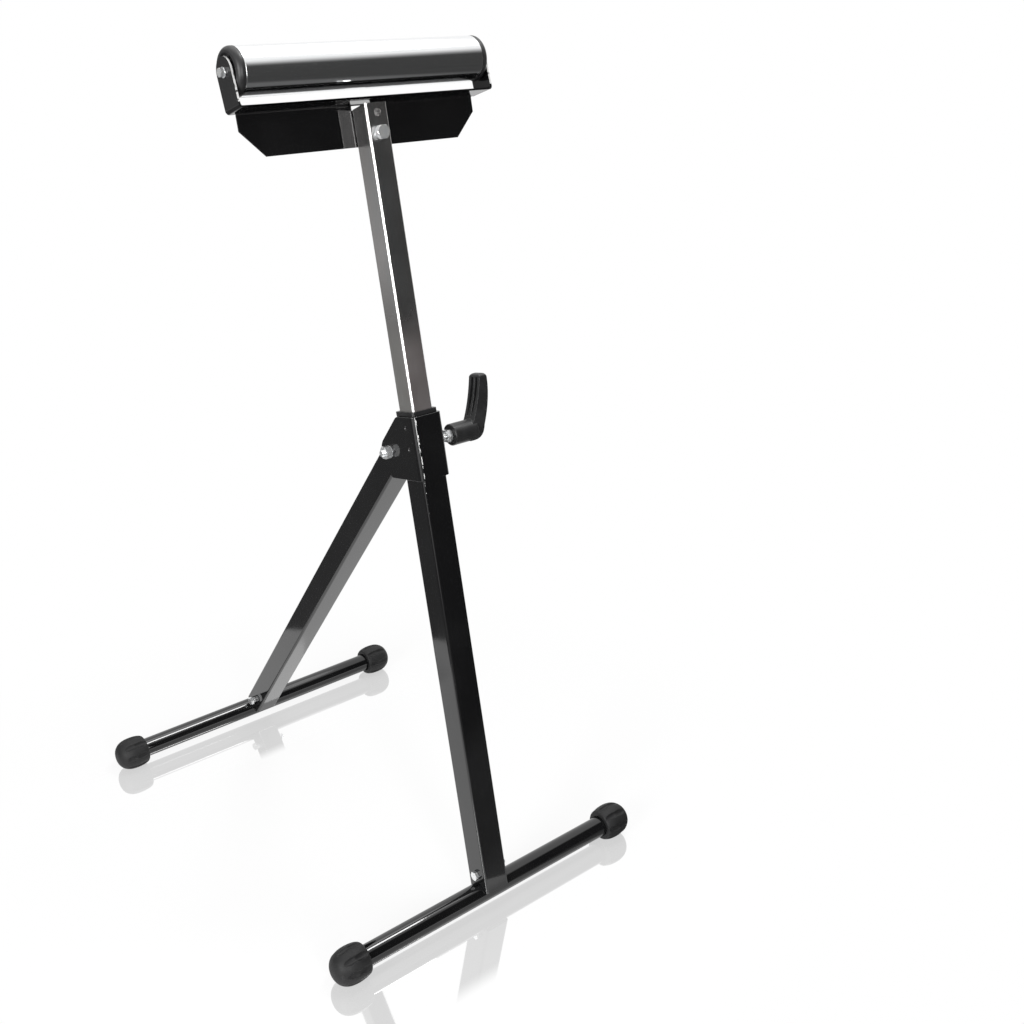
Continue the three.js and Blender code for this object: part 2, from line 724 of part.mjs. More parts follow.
// Bolt through the mast and the guide plate, with its washers and its nut
function headFasteners() {
  const head = mastHalf + fitGap + largeWasher + fitGap;
  const rear = strapRear + fitGap;
  const nutSeat = rear + largeWasher + fitGap;
  const length = head + nutSeat + largeNut + headBoltProud;
  const flat = () => washer(largeThread, largeWasherDiameter, largeWasher);
  const rows = [
    ['head_bolt', hexBolt(largeThread, largeAcross, largeHead, length), -head],
    ['head_washer_front', flat(), -mastHalf - fitGap - largeWasher],
    ['head_washer_rear', flat(), rear],
    ['head_nut', hexNut(largeThread, largeAcross, largeNut), nutSeat],
  ];
  const group = new THREE.Group();
  for (const [name, body, depth] of rows) {
    const mesh = piece(name, body, zinc);
    mesh.rotation.z = Math.PI / 2;
    mesh.position.y = depth;
    group.add(mesh);
  }
  group.position.z = headBoltHeight;
  return group;
}

// Roller end cap along X: x = 0 is the end of the roller tube, and the hub faces +X
function rollerCap() {
  const plug = rollerRadius - rollerWall - fitGap;
  const pocket = bearingDiameter / 2 + fitGap;
  const hub = axleDiameter / 2 + 2 * boreGap;
  const shoulder = rollerRadius - rollerCapShoulder;
  const dish = rollerCapDishDiameter / 2;
  const face = rollerCapProud;
  const floor = -rollerCapWall;
  const profile = [
    [hub, floor],
    [pocket, floor],
    [pocket, floor - bearingWidth],
    [pocket + rollerCapWall, floor - bearingWidth],
    [pocket + rollerCapWall, floor],
    [plug - rollerCapWall, floor],
    [plug - rollerCapWall, -rollerCapSkirt],
    [plug, -rollerCapSkirt],
    [plug, fitGap],
    [rollerRadius, fitGap],
  ];
  for (let step = 0; step <= cornerSteps; step += 1) {
    const turn = (step / cornerSteps) * (Math.PI / 2);
    profile.push([
      shoulder + rollerCapShoulder * Math.cos(turn),
      face - rollerCapShoulder + rollerCapShoulder * Math.sin(turn),
    ]);
  }
  profile.push([dish, face], [dish - rollerCapDish, face - rollerCapDish], [hub, face - rollerCapDish]);
  return turned(profile, rollerSides);
}

// Ball bearing as one ring, with a groove in each face between its inner and outer rings
function bearing() {
  const inner = axleDiameter / 2 + boreGap;
  const outer = bearingDiameter / 2;
  const profile = [
    [inner, 0],
    [inner + bearingRing, 0],
    [inner + bearingRing, bearingGroove],
    [outer - bearingRing, bearingGroove],
    [outer - bearingRing, 0],
    [outer, 0],
    [outer, bearingWidth],
    [outer - bearingRing, bearingWidth],
    [outer - bearingRing, bearingWidth - bearingGroove],
    [inner + bearingRing, bearingWidth - bearingGroove],
    [inner + bearingRing, bearingWidth],
    [inner, bearingWidth],
  ];
  return turned(profile, bearingSides);
}

// Roller, end caps and bearings on the roller's axis
function roller() {
  const group = new THREE.Group();
  const half = rollerLength / 2;
  const tube = ring(rollerDiameter - 2 * rollerWall, rollerDiameter, -half, half, rollerSides);
  group.add(piece('roller_tube', tube, chrome));
  const bearingPlace = half - rollerCapWall - fitGap - bearingWidth;
  for (const [side, towards] of [['left', -1], ['right', 1]]) {
    const cap = piece(`roller_cap_${side}`, rollerCap(), blackPlastic);
    const race = piece(`roller_bearing_${side}`, bearing(), steel);
    cap.position.x = towards * half;
    race.position.x = towards * bearingPlace;
    if (towards < 0) {
      cap.rotation.z = Math.PI;
      race.rotation.z = Math.PI;
    }
    group.add(cap, race);
  }
  return group;
}

// Fixed axle with a tapped hole in each end, and the bolt and washer that hold each ear to it
function axle() {
  const group = new THREE.Group();
  const half = earInner - fitGap;
  let rod = barAlongX(axleDiameter, -half, half, tubeSides);
  const tap = axleThread + 2 * boreGap;
  rod = rod.subtract(barAlongX(tap, half - axleTapDepth, half + 1, boltSides));
  rod = rod.subtract(barAlongX(tap, -half - 1, -half + axleTapDepth, boltSides));
  group.add(piece('roller_axle', rod, steel));
  const seat = earOuter + fitGap;
  for (const [side, towards] of [['left', -1], ['right', 1]]) {
    const screw = hexBolt(axleThread, axleBoltAcross, axleBoltHead, axleBoltLength);
    const bolt = piece(`axle_bolt_${side}`, screw, zinc);
    const disc = washer(axleThread, axleWasherDiameter, axleWasher);
    const flat = piece(`axle_washer_${side}`, disc, zinc);
    bolt.position.x = towards * (seat + axleWasher + fitGap);
    flat.position.x = towards * seat;
    if (towards > 0) bolt.rotation.z = Math.PI;
    if (towards < 0) flat.rotation.z = Math.PI;
    group.add(bolt, flat);
  }
  return group;
}

// Inner edge of the knob's arm in (x, z), from its root on the barrel to its round tip,
// moved a distance into the arm
function armInnerEdge(inwards) {
  const tip = knobTipThickness / 2;
  const high = new THREE.Vector2(knobArmReach - knobTipThickness + inwards, knobArmHeight - tip);
  const bend = new THREE.Vector2(high.x - knobInnerBow, knobArmHeight / 2);
  const root = new THREE.Vector2(
    knobBarrelLength - knobRootInset + inwards,
    knobBarrelDiameter / 2 - knobRootSink + inwards,
  );
  return { high, bend, root };
}

// Side profile of the knob's arm in (x, z), with the near end of the barrel at x = 0
function armOutline() {
  const { high, bend, root } = armInnerEdge(0);
  const radius = knobBarrelDiameter / 2;
  const low = knobRootSink - radius;
  const tip = knobTipThickness / 2;
  const turn = radius / 4; // the elbow turns this far above the axis
  const elbow = new THREE.Vector2(knobArmReach - knobArmLean, turn);
  const outline = new THREE.Shape();
  outline.moveTo(knobBarrelLength - radius, low);
  outline.lineTo(knobBarrelLength - radius / 2, low);
  outline.quadraticCurveTo(elbow.x - turn, low, elbow.x, elbow.y);
  outline.quadraticCurveTo(knobArmReach, knobArmHeight / 2, knobArmReach, knobArmHeight - tip);
  outline.quadraticCurveTo(knobArmReach, knobArmHeight, knobArmReach - tip, knobArmHeight);
  outline.quadraticCurveTo(high.x, knobArmHeight, high.x, high.y);
  outline.quadraticCurveTo(bend.x, bend.y, root.x, root.y);
  outline.lineTo(knobBarrelLength - radius, 0);
  return outline;
}

// Everything in front of a line set into the arm's inner edge, for its two long grooves
function grooveOutline() {
  const { high, bend, root } = armInnerEdge(knobGrooveDepth);
  const top = knobArmHeight - knobGrooveRim;
  const outline = new THREE.Shape();
  outline.moveTo(root.x, root.y);
  outline.quadraticCurveTo(bend.x, bend.y, high.x, high.y);
  outline.lineTo(high.x, top);
  outline.lineTo(0, top);
  outline.lineTo(0, root.y);
  return outline;
}

// L-shaped clamp knob along X, with its near end at x = 0 and its arm up
function clampKnob() {
  const arm = new THREE.ExtrudeGeometry(armOutline(), {
    depth: knobArmWidth - 2 * knobEdge,
    bevelEnabled: true,
    bevelSize: knobEdge,
    bevelOffset: -knobEdge,
    bevelThickness: knobEdge,
    bevelSegments: knobEdgeSteps,
    curveSegments: knobSteps,
  }).translate(0, 0, knobEdge - knobArmWidth / 2).applyMatrix4(alongY);
  const barrel = barAlongX(knobBarrelDiameter, 0, knobBarrelLength, tubeSides);
  const bore = barAlongX(clampThread + 2 * boreGap, -1, knobScrewDepth, boltSides);
  const near = knobRibWidth / 2;
  const far = near + knobGrooveWidth;
  const groove = grooveOutline();
  return barrel
    .add(solid(arm))
    .subtract(bore)
    .subtract(slabBetween(groove, near, far))
    .subtract(slabBetween(groove, -far, -near));
}

// Clamp: a welded nut on the bracket, a pad on the mast, and a screw set in the knob
function clamp() {
  const group = new THREE.Group();
  const padStart = mastHalf + fitGap;
  const screwStart = padStart + padThickness + fitGap;
  const screwEnd = knobStart + knobScrewDepth - fitGap;
  const lockStart = knobStart - fitGap - lockNutHeight;
  const nut = piece('clamp_nut', hexNut(clampThread, clampNutAcross, clampNutHeight), zinc);
  const pad = piece('clamp_pad', barAlongX(clampThread, 0, padThickness, boltSides), blackPlastic);
  const screw = piece('clamp_screw', barAlongX(clampThread, 0, screwEnd - screwStart, boltSides), zinc);
  const lock = piece('knob_lock_nut', hexNut(clampThread, clampNutAcross, lockNutHeight), zinc);
  const knob = piece('clamp_knob', clampKnob(), blackPlastic);
  nut.position.x = cheekOuter + fitGap;
  pad.position.x = padStart;
  screw.position.x = screwStart;
  lock.position.x = lockStart;
  knob.position.x = knobStart;
  group.add(nut, pad, screw, lock, knob);
  group.position.z = clampHeight;
  return group;
}

// Everything that leans with the front leg, measured from the front crossbar's axis
function frontFrame() {
  const group = new THREE.Group();
  group.add(frontLeg(), footStub('front', frontLegBore), guideBush(), pivotBracket());
  group.add(...footBolt('front', frontLegSide, 0, frontBoltProud), pivotFasteners());
  group.add(mastTube(), mastPlug(), headBracket(), headFasteners(), clamp());
  const turning = new THREE.Group();
  turning.add(roller(), axle());
  turning.position.set(0, rollerAxis.x, rollerAxis.y);
  group.add(turning);
  group.position.set(0, -footSpread / 2, axisHeight);
  group.rotation.x = -frontLean;
  return group;
}

// Everything that leans with the rear leg, measured from the rear crossbar's axis
function rearFrame() {
  const group = new THREE.Group();
  const bore = rearLegSide - 2 * rearLegWall;
  const raised = rearSpacerLength + fitGap;
  group.add(rearLeg(), footStub('rear', bore), rearSpacer());
  group.add(...footBolt('rear', rearLegSide, raised, rearBoltProud));
  group.position.set(0, footSpread / 2, axisHeight);
  group.rotation.x = rearLean;
  return group;
}

const rollerStand = new THREE.Group();
rollerStand.add(crossbar('front', frontCrossbarLength, -footSpread / 2));
rollerStand.add(crossbar('rear', rearCrossbarLength, footSpread / 2));
rollerStand.add(frontFrame(), rearFrame());

export default rollerStand;
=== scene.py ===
# %% [markdown]
# # A folding roller stand
#
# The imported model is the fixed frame. Every piece below is built in metres in that same
# frame, rides on one of its bodies and stands for one of its plain solids. The pieces are
# made as a workshop makes them: drawn tubes, bent sheet, turned metal and moulded parts.

import json
import math

import bmesh
import bpy
from mathutils import Matrix, Vector


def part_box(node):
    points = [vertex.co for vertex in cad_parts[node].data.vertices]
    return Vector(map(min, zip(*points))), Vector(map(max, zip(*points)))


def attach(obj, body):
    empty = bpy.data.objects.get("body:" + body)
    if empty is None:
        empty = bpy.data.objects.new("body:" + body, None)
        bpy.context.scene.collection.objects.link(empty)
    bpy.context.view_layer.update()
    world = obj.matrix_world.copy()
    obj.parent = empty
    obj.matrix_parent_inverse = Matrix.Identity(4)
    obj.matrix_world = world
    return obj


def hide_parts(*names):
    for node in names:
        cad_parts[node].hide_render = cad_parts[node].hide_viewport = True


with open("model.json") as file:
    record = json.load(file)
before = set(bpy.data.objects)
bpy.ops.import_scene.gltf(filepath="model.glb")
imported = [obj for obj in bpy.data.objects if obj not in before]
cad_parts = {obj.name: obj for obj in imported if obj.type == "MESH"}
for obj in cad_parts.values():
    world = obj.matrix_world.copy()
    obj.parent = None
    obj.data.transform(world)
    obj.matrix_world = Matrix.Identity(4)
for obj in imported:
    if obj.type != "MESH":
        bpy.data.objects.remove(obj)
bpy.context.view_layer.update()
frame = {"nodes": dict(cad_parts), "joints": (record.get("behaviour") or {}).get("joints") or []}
MM = 0.001

# %% [markdown]
# ## Two leaning work frames
#
# Both legs lean, so it is easier to model a tube upright and lay it over at the end. Each
# leg gets a frame with its origin on its crossbar's axis and +Z along the tube. The lean
# could be typed in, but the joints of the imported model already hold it.

# %% Leaning frames
joints = {joint["name"]: joint for joint in frame["joints"]}
slide_axis = Vector(joints["mast_slide"]["axis"])
pivot_place = Vector(joints["rear_leg_fold"]["pos_m"])
front_foot = sum(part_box("front_crossbar"), Vector()) / 2
rear_foot = sum(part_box("rear_crossbar"), Vector()) / 2
front_lean = math.atan2(slide_axis.y, slide_axis.z)
rear_lean = math.atan2(rear_foot.y - pivot_place.y, pivot_place.z - rear_foot.z)
front_frame = Matrix.Translation(front_foot) @ Matrix.Rotation(-front_lean, 4, "X")
rear_frame = Matrix.Translation(rear_foot) @ Matrix.Rotation(rear_lean, 4, "X")
print("lean in degrees:", round(math.degrees(front_lean), 2), round(math.degrees(rear_lean), 2))

# %% [markdown]
# ## Camera
#
# The photograph looks down on the stand from its left front corner. Its place, turn and
# focal length were worked out from edges of the stand whose sizes are known, so the render
# can be laid over the photograph.

# %% Camera
camera_data = bpy.data.cameras.new("photo_camera")
camera_data.sensor_width = 36
camera_data.lens = 44.53
camera = bpy.data.objects.new("photo_camera", camera_data)
camera.location = (-0.74589, -1.18329, 1.00685)
camera.rotation_euler = (math.radians(66.683), 0, math.radians(-40.291))
bpy.context.scene.collection.objects.link(camera)
bpy.context.scene.camera = camera
bpy.context.scene.view_settings.view_transform = "Standard"
print("camera at", [round(value, 3) for value in camera.location])

# %% [markdown]
# ## Writing shaders as expressions
#
# A finish is a small network of nodes. Placing each Math node by hand hides what is being
# worked out, so one class wraps a node's output and turns Python's own operators into Math
# nodes. Its method `node` adds any other kind of node.


# %% Wires between nodes
class Wire:
    """One output of a node, with arithmetic that adds Math nodes after it."""

    def __init__(self, tree, output):
        self.tree = tree
        self.output = output

    def node(self, kind, settings, sockets, result=0):
        made = self.tree.nodes.new(kind)
        for name, value in settings.items():
            setattr(made, name, value)
        for name, value in sockets.items():
            if isinstance(value, Wire):
                self.tree.links.new(value.output, made.inputs[name])
            else:
                made.inputs[name].default_value = value
        return Wire(self.tree, made.outputs[result])

    def maths(self, operation, first, second):
        return self.node("ShaderNodeMath", {"operation": operation}, {0: first, 1: second})

    def __add__(self, other):
        return self.maths("ADD", self, other)

    def __sub__(self, other):
        return self.maths("SUBTRACT", self, other)

    def __rsub__(self, other):
        return self.maths("SUBTRACT", other, self)

    def __mul__(self, other):
        return self.maths("MULTIPLY", self, other)

    __radd__ = __add__
    __rmul__ = __mul__

    def between(self, low, high):
        """0 below the low value, 1 above the high one, and smooth in between."""
        sockets = {"Value": self, "From Min": low, "From Max": high}
        return self.node("ShaderNodeMapRange", {"interpolation_type": "SMOOTHSTEP"}, sockets)

    def blend(self, first, second):
        """A mix of two colours, with this wire as its factor."""
        return self.node("ShaderNodeMix", {"data_type": "RGBA"}, {0: self, 6: first, 7: second}, 2)

    def noise(self, scale, detail=2.0, roughness=0.5):
        """Noise at a number of cells to the metre, read at this place."""
        sockets = {"Vector": self, "Scale": scale, "Detail": detail, "Roughness": roughness}
        return self.node("ShaderNodeTexNoise", {}, sockets)

    def stretched(self, turn, scale):
        """This place, turned and then scaled on each axis, for grain that runs one way."""
        turned_place = self.node("ShaderNodeMapping", {}, {"Vector": self, "Rotation": turn})
        return turned_place.node("ShaderNodeMapping", {}, {"Vector": turned_place, "Scale": scale})

    def part(self, axis):
        """One coordinate of this place: 0, 1 or 2 for X, Y or Z."""
        return self.node("ShaderNodeSeparateXYZ", {}, {"Vector": self}, axis)

    def length(self):
        """How far this place is from the origin."""
        return self.node("ShaderNodeVectorMath", {"operation": "LENGTH"}, {0: self}, 1)

    def bump(self, height):
        """A surface normal from a height in metres."""
        return self.node("ShaderNodeBump", {}, {"Height": self, "Distance": height})


print("shader wires ready")

# %% [markdown]
# ## Starting a finish
#
# All finishes are one Principled shader with a few sockets that change over the surface.
# They read Object coordinates. Every piece ends with its object at the origin, so these are
# metres in the stand's own frame, and a pattern moves with its piece.

# %% Start of a finish
finishes = {}


def coordinate(tree, kind="Object"):
    """A wire that gives the place, or the direction of the surface, in a piece's own space."""
    return Wire(tree, tree.nodes.new("ShaderNodeTexCoord").outputs[kind])


def attribute(tree, name):
    """A wire that gives a number stored on the faces of a piece, or 0 where there is none."""
    reader = tree.nodes.new("ShaderNodeAttribute")
    reader.attribute_name = name
    return Wire(tree, reader.outputs["Fac"])


def new_finish(name, settings):
    """A material with its uniform values set, its shader, and a wire for the place."""
    material = bpy.data.materials.new(name)
    material.use_nodes = True
    tree = material.node_tree
    shader = tree.nodes["Principled BSDF"]
    for socket, value in settings.items():
        shader.inputs[socket].default_value = value
    finishes[name] = material
    return shader, coordinate(tree)


def feed(shader, sockets):
    """Link wires to the sockets of a shader."""
    for name, wire in sockets.items():
        wire.tree.links.new(wire.output, shader.inputs[name])


print("finishes start from", "Principled BSDF")

# %% [markdown]
# ## Gloss black paint
#
# The legs, crossbars and bent sheets are sprayed in gloss black. Real spray paint is never
# a perfect mirror: it has a fine orange peel, and handling dulls it in soft patches. On the
# left folds of leg and bracket short dashes are painted bright steel: partly paint rubbed
# through, and partly a painted highlight, since they lie only where a fold has almost turned
# to face forward and catches the light. Faces that a piece marks as its rim get the same
# painted highlight of rubbed bright steel.

# %% Black paint
shader, place = new_finish("black_paint", {"IOR": 1.66})
patches = place.noise(14, 3).between(0.4, 0.75)
peel = place.noise(500, 1)
specks = place.noise(2600, 1).between(0.70, 0.78)
# Painted highlight as well as wear: fold faces that have almost turned forward, above the bracket's
# bottom, and faces marked as rim are painted bright steel.
facing = coordinate(place.tree, "Normal")
leftward = 0 - facing.part(0)
edge = leftward.between(0.22, 0.27) * (1 - leftward.between(0.34, 0.39))
edge = edge * facing.part(2).between(-0.3, -0.2)
upper = place.part(2).between(0.47, 0.485)
rim = attribute(place.tree, "rim") * place.noise(300, 2).between(0.3, 0.45)
worn_highlight_dashes = edge * upper * place.noise(150, 4, 0.6).between(0.5, 0.57)
wear_and_highlight = worn_highlight_dashes.maths("MAXIMUM", worn_highlight_dashes, rim)
black = patches.blend((0.0035, 0.0035, 0.0038, 1), (0.0060, 0.0060, 0.0063, 1))
feed(
    shader,
    {
        "Base Color": wear_and_highlight.blend(black, (0.90, 0.90, 0.89, 1)),
        "Metallic": 0.4 * wear_and_highlight,
        "Roughness": 0.045 + 0.04 * patches + 0.10 * specks + 0.25 * wear_and_highlight,
        "Normal": peel.bump(0.008 * MM),
    },
)
print("black_paint", len(finishes["black_paint"].node_tree.nodes), "nodes")

# %% [markdown]
# ## Plated mast
#
# The mast is a drawn square tube with a bright plating. Drawing leaves faint lines along
# the tube, and the plating's clear passivation gives it warm and cool tints. The pattern is
# turned to the lean of the leg and stretched, so that the lines run along the tube. The part
# that goes in and out of the leg is rubbed matt. There its front and back faces are painted a
# warmer tint than its sides, a painted reflection colour that follows which way a face looks.
# Its rolled corners do not touch the bush and stay bright.

# %% Plated tube
shader, place = new_finish("plated_tube", {"Metallic": 1.0})
along = place.stretched((front_lean, 0, 0), (1, 1, 0.02))
lines = along.noise(900, 3, 0.6)
tint = place.stretched((front_lean, 0, 0), (1, 1, 0.12)).noise(45, 2).between(0.35, 0.65)
haze = place.noise(25, 3).between(0.35, 0.7)
plating = tint.blend((0.60, 0.61, 0.61, 1), (0.62, 0.60, 0.59, 1))
sideways = coordinate(place.tree, "Normal").part(0)
corner = (2 * sideways * sideways * (1 - sideways * sideways)).between(0.05, 0.3)
worn = (1 - corner) * (1 - place.part(2).between(0.635, 0.69))
# Painted reflection colour: on the rubbed part the front and back faces get a warmer tint than the sides.
matt_with_painted_tint = (sideways * sideways).between(0.4, 0.6).blend((0.57, 0.505, 0.495, 1), (0.53, 0.515, 0.49, 1))
worn_plating_with_painted_tint = worn.blend(plating, matt_with_painted_tint)
feed(
    shader,
    {
        "Base Color": (0.3 * lines + 0.2 * haze).blend(worn_plating_with_painted_tint, (0.52, 0.525, 0.53, 1)),
        "Roughness": 0.18 + 0.07 * lines + 0.05 * haze + 0.18 * worn,
        "Normal": lines.bump(0.01 * MM),
    },
)
print("plated_tube", len(finishes["plated_tube"].node_tree.nodes), "nodes")

# %% [markdown]
# ## Chromed roller
#
# The roller is ground and chromed. Grinding leaves very fine rings round it, which blur the
# reflections a little along its length, and long work drawn over it leaves faint streaks.
# Noise that is stretched round the roller gives the rings, and along it the streaks.

# %% Chrome
shader, place = new_finish("chrome", {"Metallic": 1.0})
rings = place.stretched((0, 0, 0), (1, 0.02, 0.02)).noise(2200, 2, 0.6)
streaks = place.stretched((0, 0, 0), (0.02, 1, 1)).noise(420, 3, 0.6).between(0.4, 0.7)
feed(
    shader,
    {
        "Base Color": streaks.blend((0.90, 0.905, 0.91, 1), (0.83, 0.84, 0.85, 1)),
        "Roughness": 0.10 + 0.05 * rings + 0.06 * streaks,
        "Normal": rings.bump(0.0015 * MM),
    },
)
print("chrome", len(finishes["chrome"].node_tree.nodes), "nodes")

# %% [markdown]
# ## Zinc on the fasteners
#
# Bolts, nuts and washers are bright zinc with a blue-white passivation. It is cloudy at a
# scale of a few millimetres, and the cold-headed surface is slightly uneven.

# %% Zinc
shader, place = new_finish("zinc", {"Metallic": 0.8})
cloud = place.noise(260, 3).between(0.35, 0.65)
grain = place.noise(1800, 2)
feed(
    shader,
    {
        "Base Color": cloud.blend((0.93, 0.93, 0.92, 1), (0.82, 0.84, 0.86, 1)),
        "Roughness": 0.09 + 0.08 * cloud + 0.04 * grain,
        "Normal": grain.bump(0.02 * MM),
    },
)
print("zinc", len(finishes["zinc"].node_tree.nodes), "nodes")

# %% [markdown]
# ## Moulded black plastic
#
# The knob, the roller's end caps and the bush are moulded in black with a satin skin. The
# mould is spark-eroded, so the skin has a fine even grain that scatters the light.

# %% Black plastic
shader, place = new_finish("black_plastic", {"IOR": 1.48})
skin = place.noise(2400, 2, 0.6)
flow = place.noise(55, 3).between(0.35, 0.7)
feed(
    shader,
    {
        "Base Color": flow.blend((0.013, 0.013, 0.0135, 1), (0.019, 0.019, 0.0195, 1)),
        "Roughness": 0.32 + 0.10 * flow + 0.08 * skin,
        "Normal": skin.bump(0.03 * MM),
    },
)
print("black_plastic", len(finishes["black_plastic"].node_tree.nodes), "nodes")

# %% [markdown]
# ## Rubber feet
#
# The foot caps are soft black rubber: duller than the plastic, a little grey, with floor
# dust on the side that they stand on. The dust is a mask on the height above the floor,
# broken up by noise.

# %% Rubber
shader, place = new_finish("rubber", {"IOR": 1.4})
skin = place.noise(1700, 3, 0.6)
bloom = place.noise(70, 3).between(0.3, 0.7)
low = 1 - place.part(2).between(0.5 * MM, 9 * MM)
dust = low * place.noise(420, 3).between(0.4, 0.65)
black = bloom.blend((0.008, 0.008, 0.0084, 1), (0.013, 0.013, 0.0134, 1))
feed(
    shader,
    {
        "Base Color": (0.6 * dust).blend(black, (0.11, 0.105, 0.10, 1)),
        "Roughness": 0.52 + 0.12 * bloom + 0.2 * dust,
        "Normal": skin.bump(0.05 * MM),
    },
)
print("rubber", len(finishes["rubber"].node_tree.nodes), "nodes")

# %% [markdown]
# ## Bare steel
#
# The axle, the bearings and the stubs inside the legs are plain oiled steel. Almost none of
# it shows, but through the open ends of the tubes it should still look like steel.

# %% Bare steel
shader, place = new_finish("bare_steel", {"Metallic": 1.0})
oil = place.noise(120, 3).between(0.35, 0.7)
turning = place.stretched((0, 0, 0), (1, 0.05, 0.05)).noise(1500, 2)
feed(
    shader,
    {
        "Base Color": oil.blend((0.46, 0.46, 0.46, 1), (0.30, 0.28, 0.26, 1)),
        "Roughness": 0.28 + 0.15 * oil + 0.06 * turning,
        "Normal": turning.bump(0.01 * MM),
    },
)
print("bare_steel", len(finishes["bare_steel"].node_tree.nodes), "nodes")

# %% [markdown]
# ## Studio floor and surroundings
#
# The stand is on a white floor that fades into a white background. A white that comes from
# strong lamps would wash out the stand, so part of the floor's white is its own: where the
# camera, a reflection or a transmission looks at it, it shines at strength 1. The rest is
# lit, and keeps the shadow. The floor is glossy beside the crossbars, where it mirrors them,
# and the gloss fades out before it would mirror the legs. Away from the stand the floor turns
# to pure white, so that no horizon shows.

# %% Floor and world


def seen_directly(tree):
    """1 for rays of the camera, of reflections and of transmission, and 0 for others."""
    path = tree.nodes.new("ShaderNodeLightPath")
    seen = Wire(tree, path.outputs["Is Camera Ray"])
    seen = seen.maths("MAXIMUM", seen, Wire(tree, path.outputs["Is Glossy Ray"]))
    return seen.maths("MAXIMUM", seen, Wire(tree, path.outputs["Is Transmission Ray"]))


def bare_material(name):
    """A material with nothing in it but its output, and its node tree."""
    material = bpy.data.materials.new(name)
    material.use_nodes = True
    material.node_tree.nodes.clear()
    return material, material.node_tree


def show(tree, kind, wire):
    """Link a wire to a new output node of a material or a world."""
    tree.links.new(wire.output, tree.nodes.new(kind).inputs["Surface"])


floor_paint, tree = bare_material("studio_floor")
seen = seen_directly(tree)
place = coordinate(tree)
away = place.length().between(0.36, 0.62)
across = place.part(1) + 0.04
beside = across.maths("ABSOLUTE", across, 0) - abs(front_foot.y)
along = place.part(0) + 0.03
ends = along.maths("ABSOLUTE", along, 0).between(0.25, 0.31)
mirror = (1 - beside.maths("ABSOLUTE", beside, 0).between(0.04, 0.065)) * (1 - ends)
lit = seen.node("ShaderNodeBsdfDiffuse", {}, {"Color": (0.96, 0.96, 0.96, 1)})
glow = seen.node("ShaderNodeEmission", {}, {"Strength": 1.0})
gloss = seen.node("ShaderNodeBsdfGlossy", {}, {"Color": (1, 1, 1, 1), "Roughness": 0.03})
pale = seen.node("ShaderNodeMixShader", {}, {0: seen * (0.85 + 0.15 * away), 1: lit, 2: glow})
polished = seen.node("ShaderNodeMixShader", {}, {0: 0.32 * mirror, 1: pale, 2: gloss})
show(tree, "ShaderNodeOutputMaterial", polished)

bpy.ops.object.select_all(action="DESELECT")
bpy.ops.mesh.primitive_plane_add(size=24)
floor = bpy.context.object
floor.name = "studio_floor"
floor.data.materials.append(floor_paint)

world = bpy.data.worlds.new("studio")
world.use_nodes = True
world.node_tree.nodes.clear()
seen = seen_directly(world.node_tree)
white = {"Color": (1, 1, 1, 1), "Strength": 0.4 + 0.6 * seen}
show(world.node_tree, "ShaderNodeOutputWorld", seen.node("ShaderNodeBackground", {}, white))
bpy.context.scene.world = world
print("floor", tuple(round(value, 1) for value in floor.dimensions))

# %% [markdown]
# ## Lamps
#
# A wide soft box hangs over the stand and lights it evenly, and a narrow one beside it draws
# the white lines along the crossbars. An upright one stands to the left of the camera: it
# draws the white line along the mast's front corner and the thin lines on painted edges. One
# further left puts highlights on the rounded ends that face it.

# %% Lamps


def soft_box(name, place, target, width, height, brightness):
    """An area lamp of a given size that faces a target, with its brightness per area."""
    lamp = bpy.data.lights.new(name, "AREA")
    lamp.shape = "RECTANGLE"
    lamp.size = width
    lamp.size_y = height
    lamp.energy = brightness * math.pi * width * height
    holder = bpy.data.objects.new(name, lamp)
    holder.location = place
    holder.rotation_euler = (Vector(target) - Vector(place)).to_track_quat("-Z", "Y").to_euler()
    holder.visible_camera = False
    bpy.context.scene.collection.objects.link(holder)
    return holder


soft_box("overhead_box", (0.35, 0.35, 2.3), (0.35, 0.35, 0), 1.8, 1.8, 1.3)
soft_box("strip_box", (0.72, -0.25, 2.2), (0.72, -0.25, 0), 0.46, 0.45, 15)
soft_box("key_box", (-0.69, -2.2, 1.13), (0, -0.12, 1.13), 0.35, 1.14, 16)
soft_box("left_box", (-2.05, -0.85, 1.1), (0, -0.1, 1.1), 0.6, 1.2, 15)
print("lamps", [light.name for light in bpy.data.lights])

# %% [markdown]
# ## Cards for the reflections
#
# Chrome and gloss paint show what stands round them. In an all-white room they would be
# white, so a photographer puts dark cards just out of the picture. A tall one at the front
# right gives the roller its dark band, and grey ones on the floor shade the lower band and
# the left sides. An upright one at the back left shades the mast, and two low ones under the
# key lamp keep the leg's corner dark. Only reflections see the cards, from their front.

# %% Cards


def card(name, corners, shade):
    """A flat card that only reflections see. Its shade is worked out from the place."""
    paint, tree = bare_material(name)
    back = Wire(tree, tree.nodes.new("ShaderNodeNewGeometry").outputs["Backfacing"])
    dark = back.node("ShaderNodeEmission", {}, {"Strength": shade(coordinate(tree))})
    clear = back.node("ShaderNodeBsdfTransparent", {}, {})
    one_sided = back.node("ShaderNodeMixShader", {}, {0: back, 1: dark, 2: clear})
    show(tree, "ShaderNodeOutputMaterial", one_sided)
    mesh = bpy.data.meshes.new(name)
    mesh.from_pydata(corners, [], [range(len(corners))])
    mesh.materials.append(paint)
    board = bpy.data.objects.new(name, mesh)
    bpy.context.scene.collection.objects.link(board)
    board.visible_camera = False
    board.visible_diffuse = False
    board.visible_shadow = False
    board.visible_transmission = False
    return board


def level(brightness):
    """One brightness all over a card."""
    return lambda place: brightness


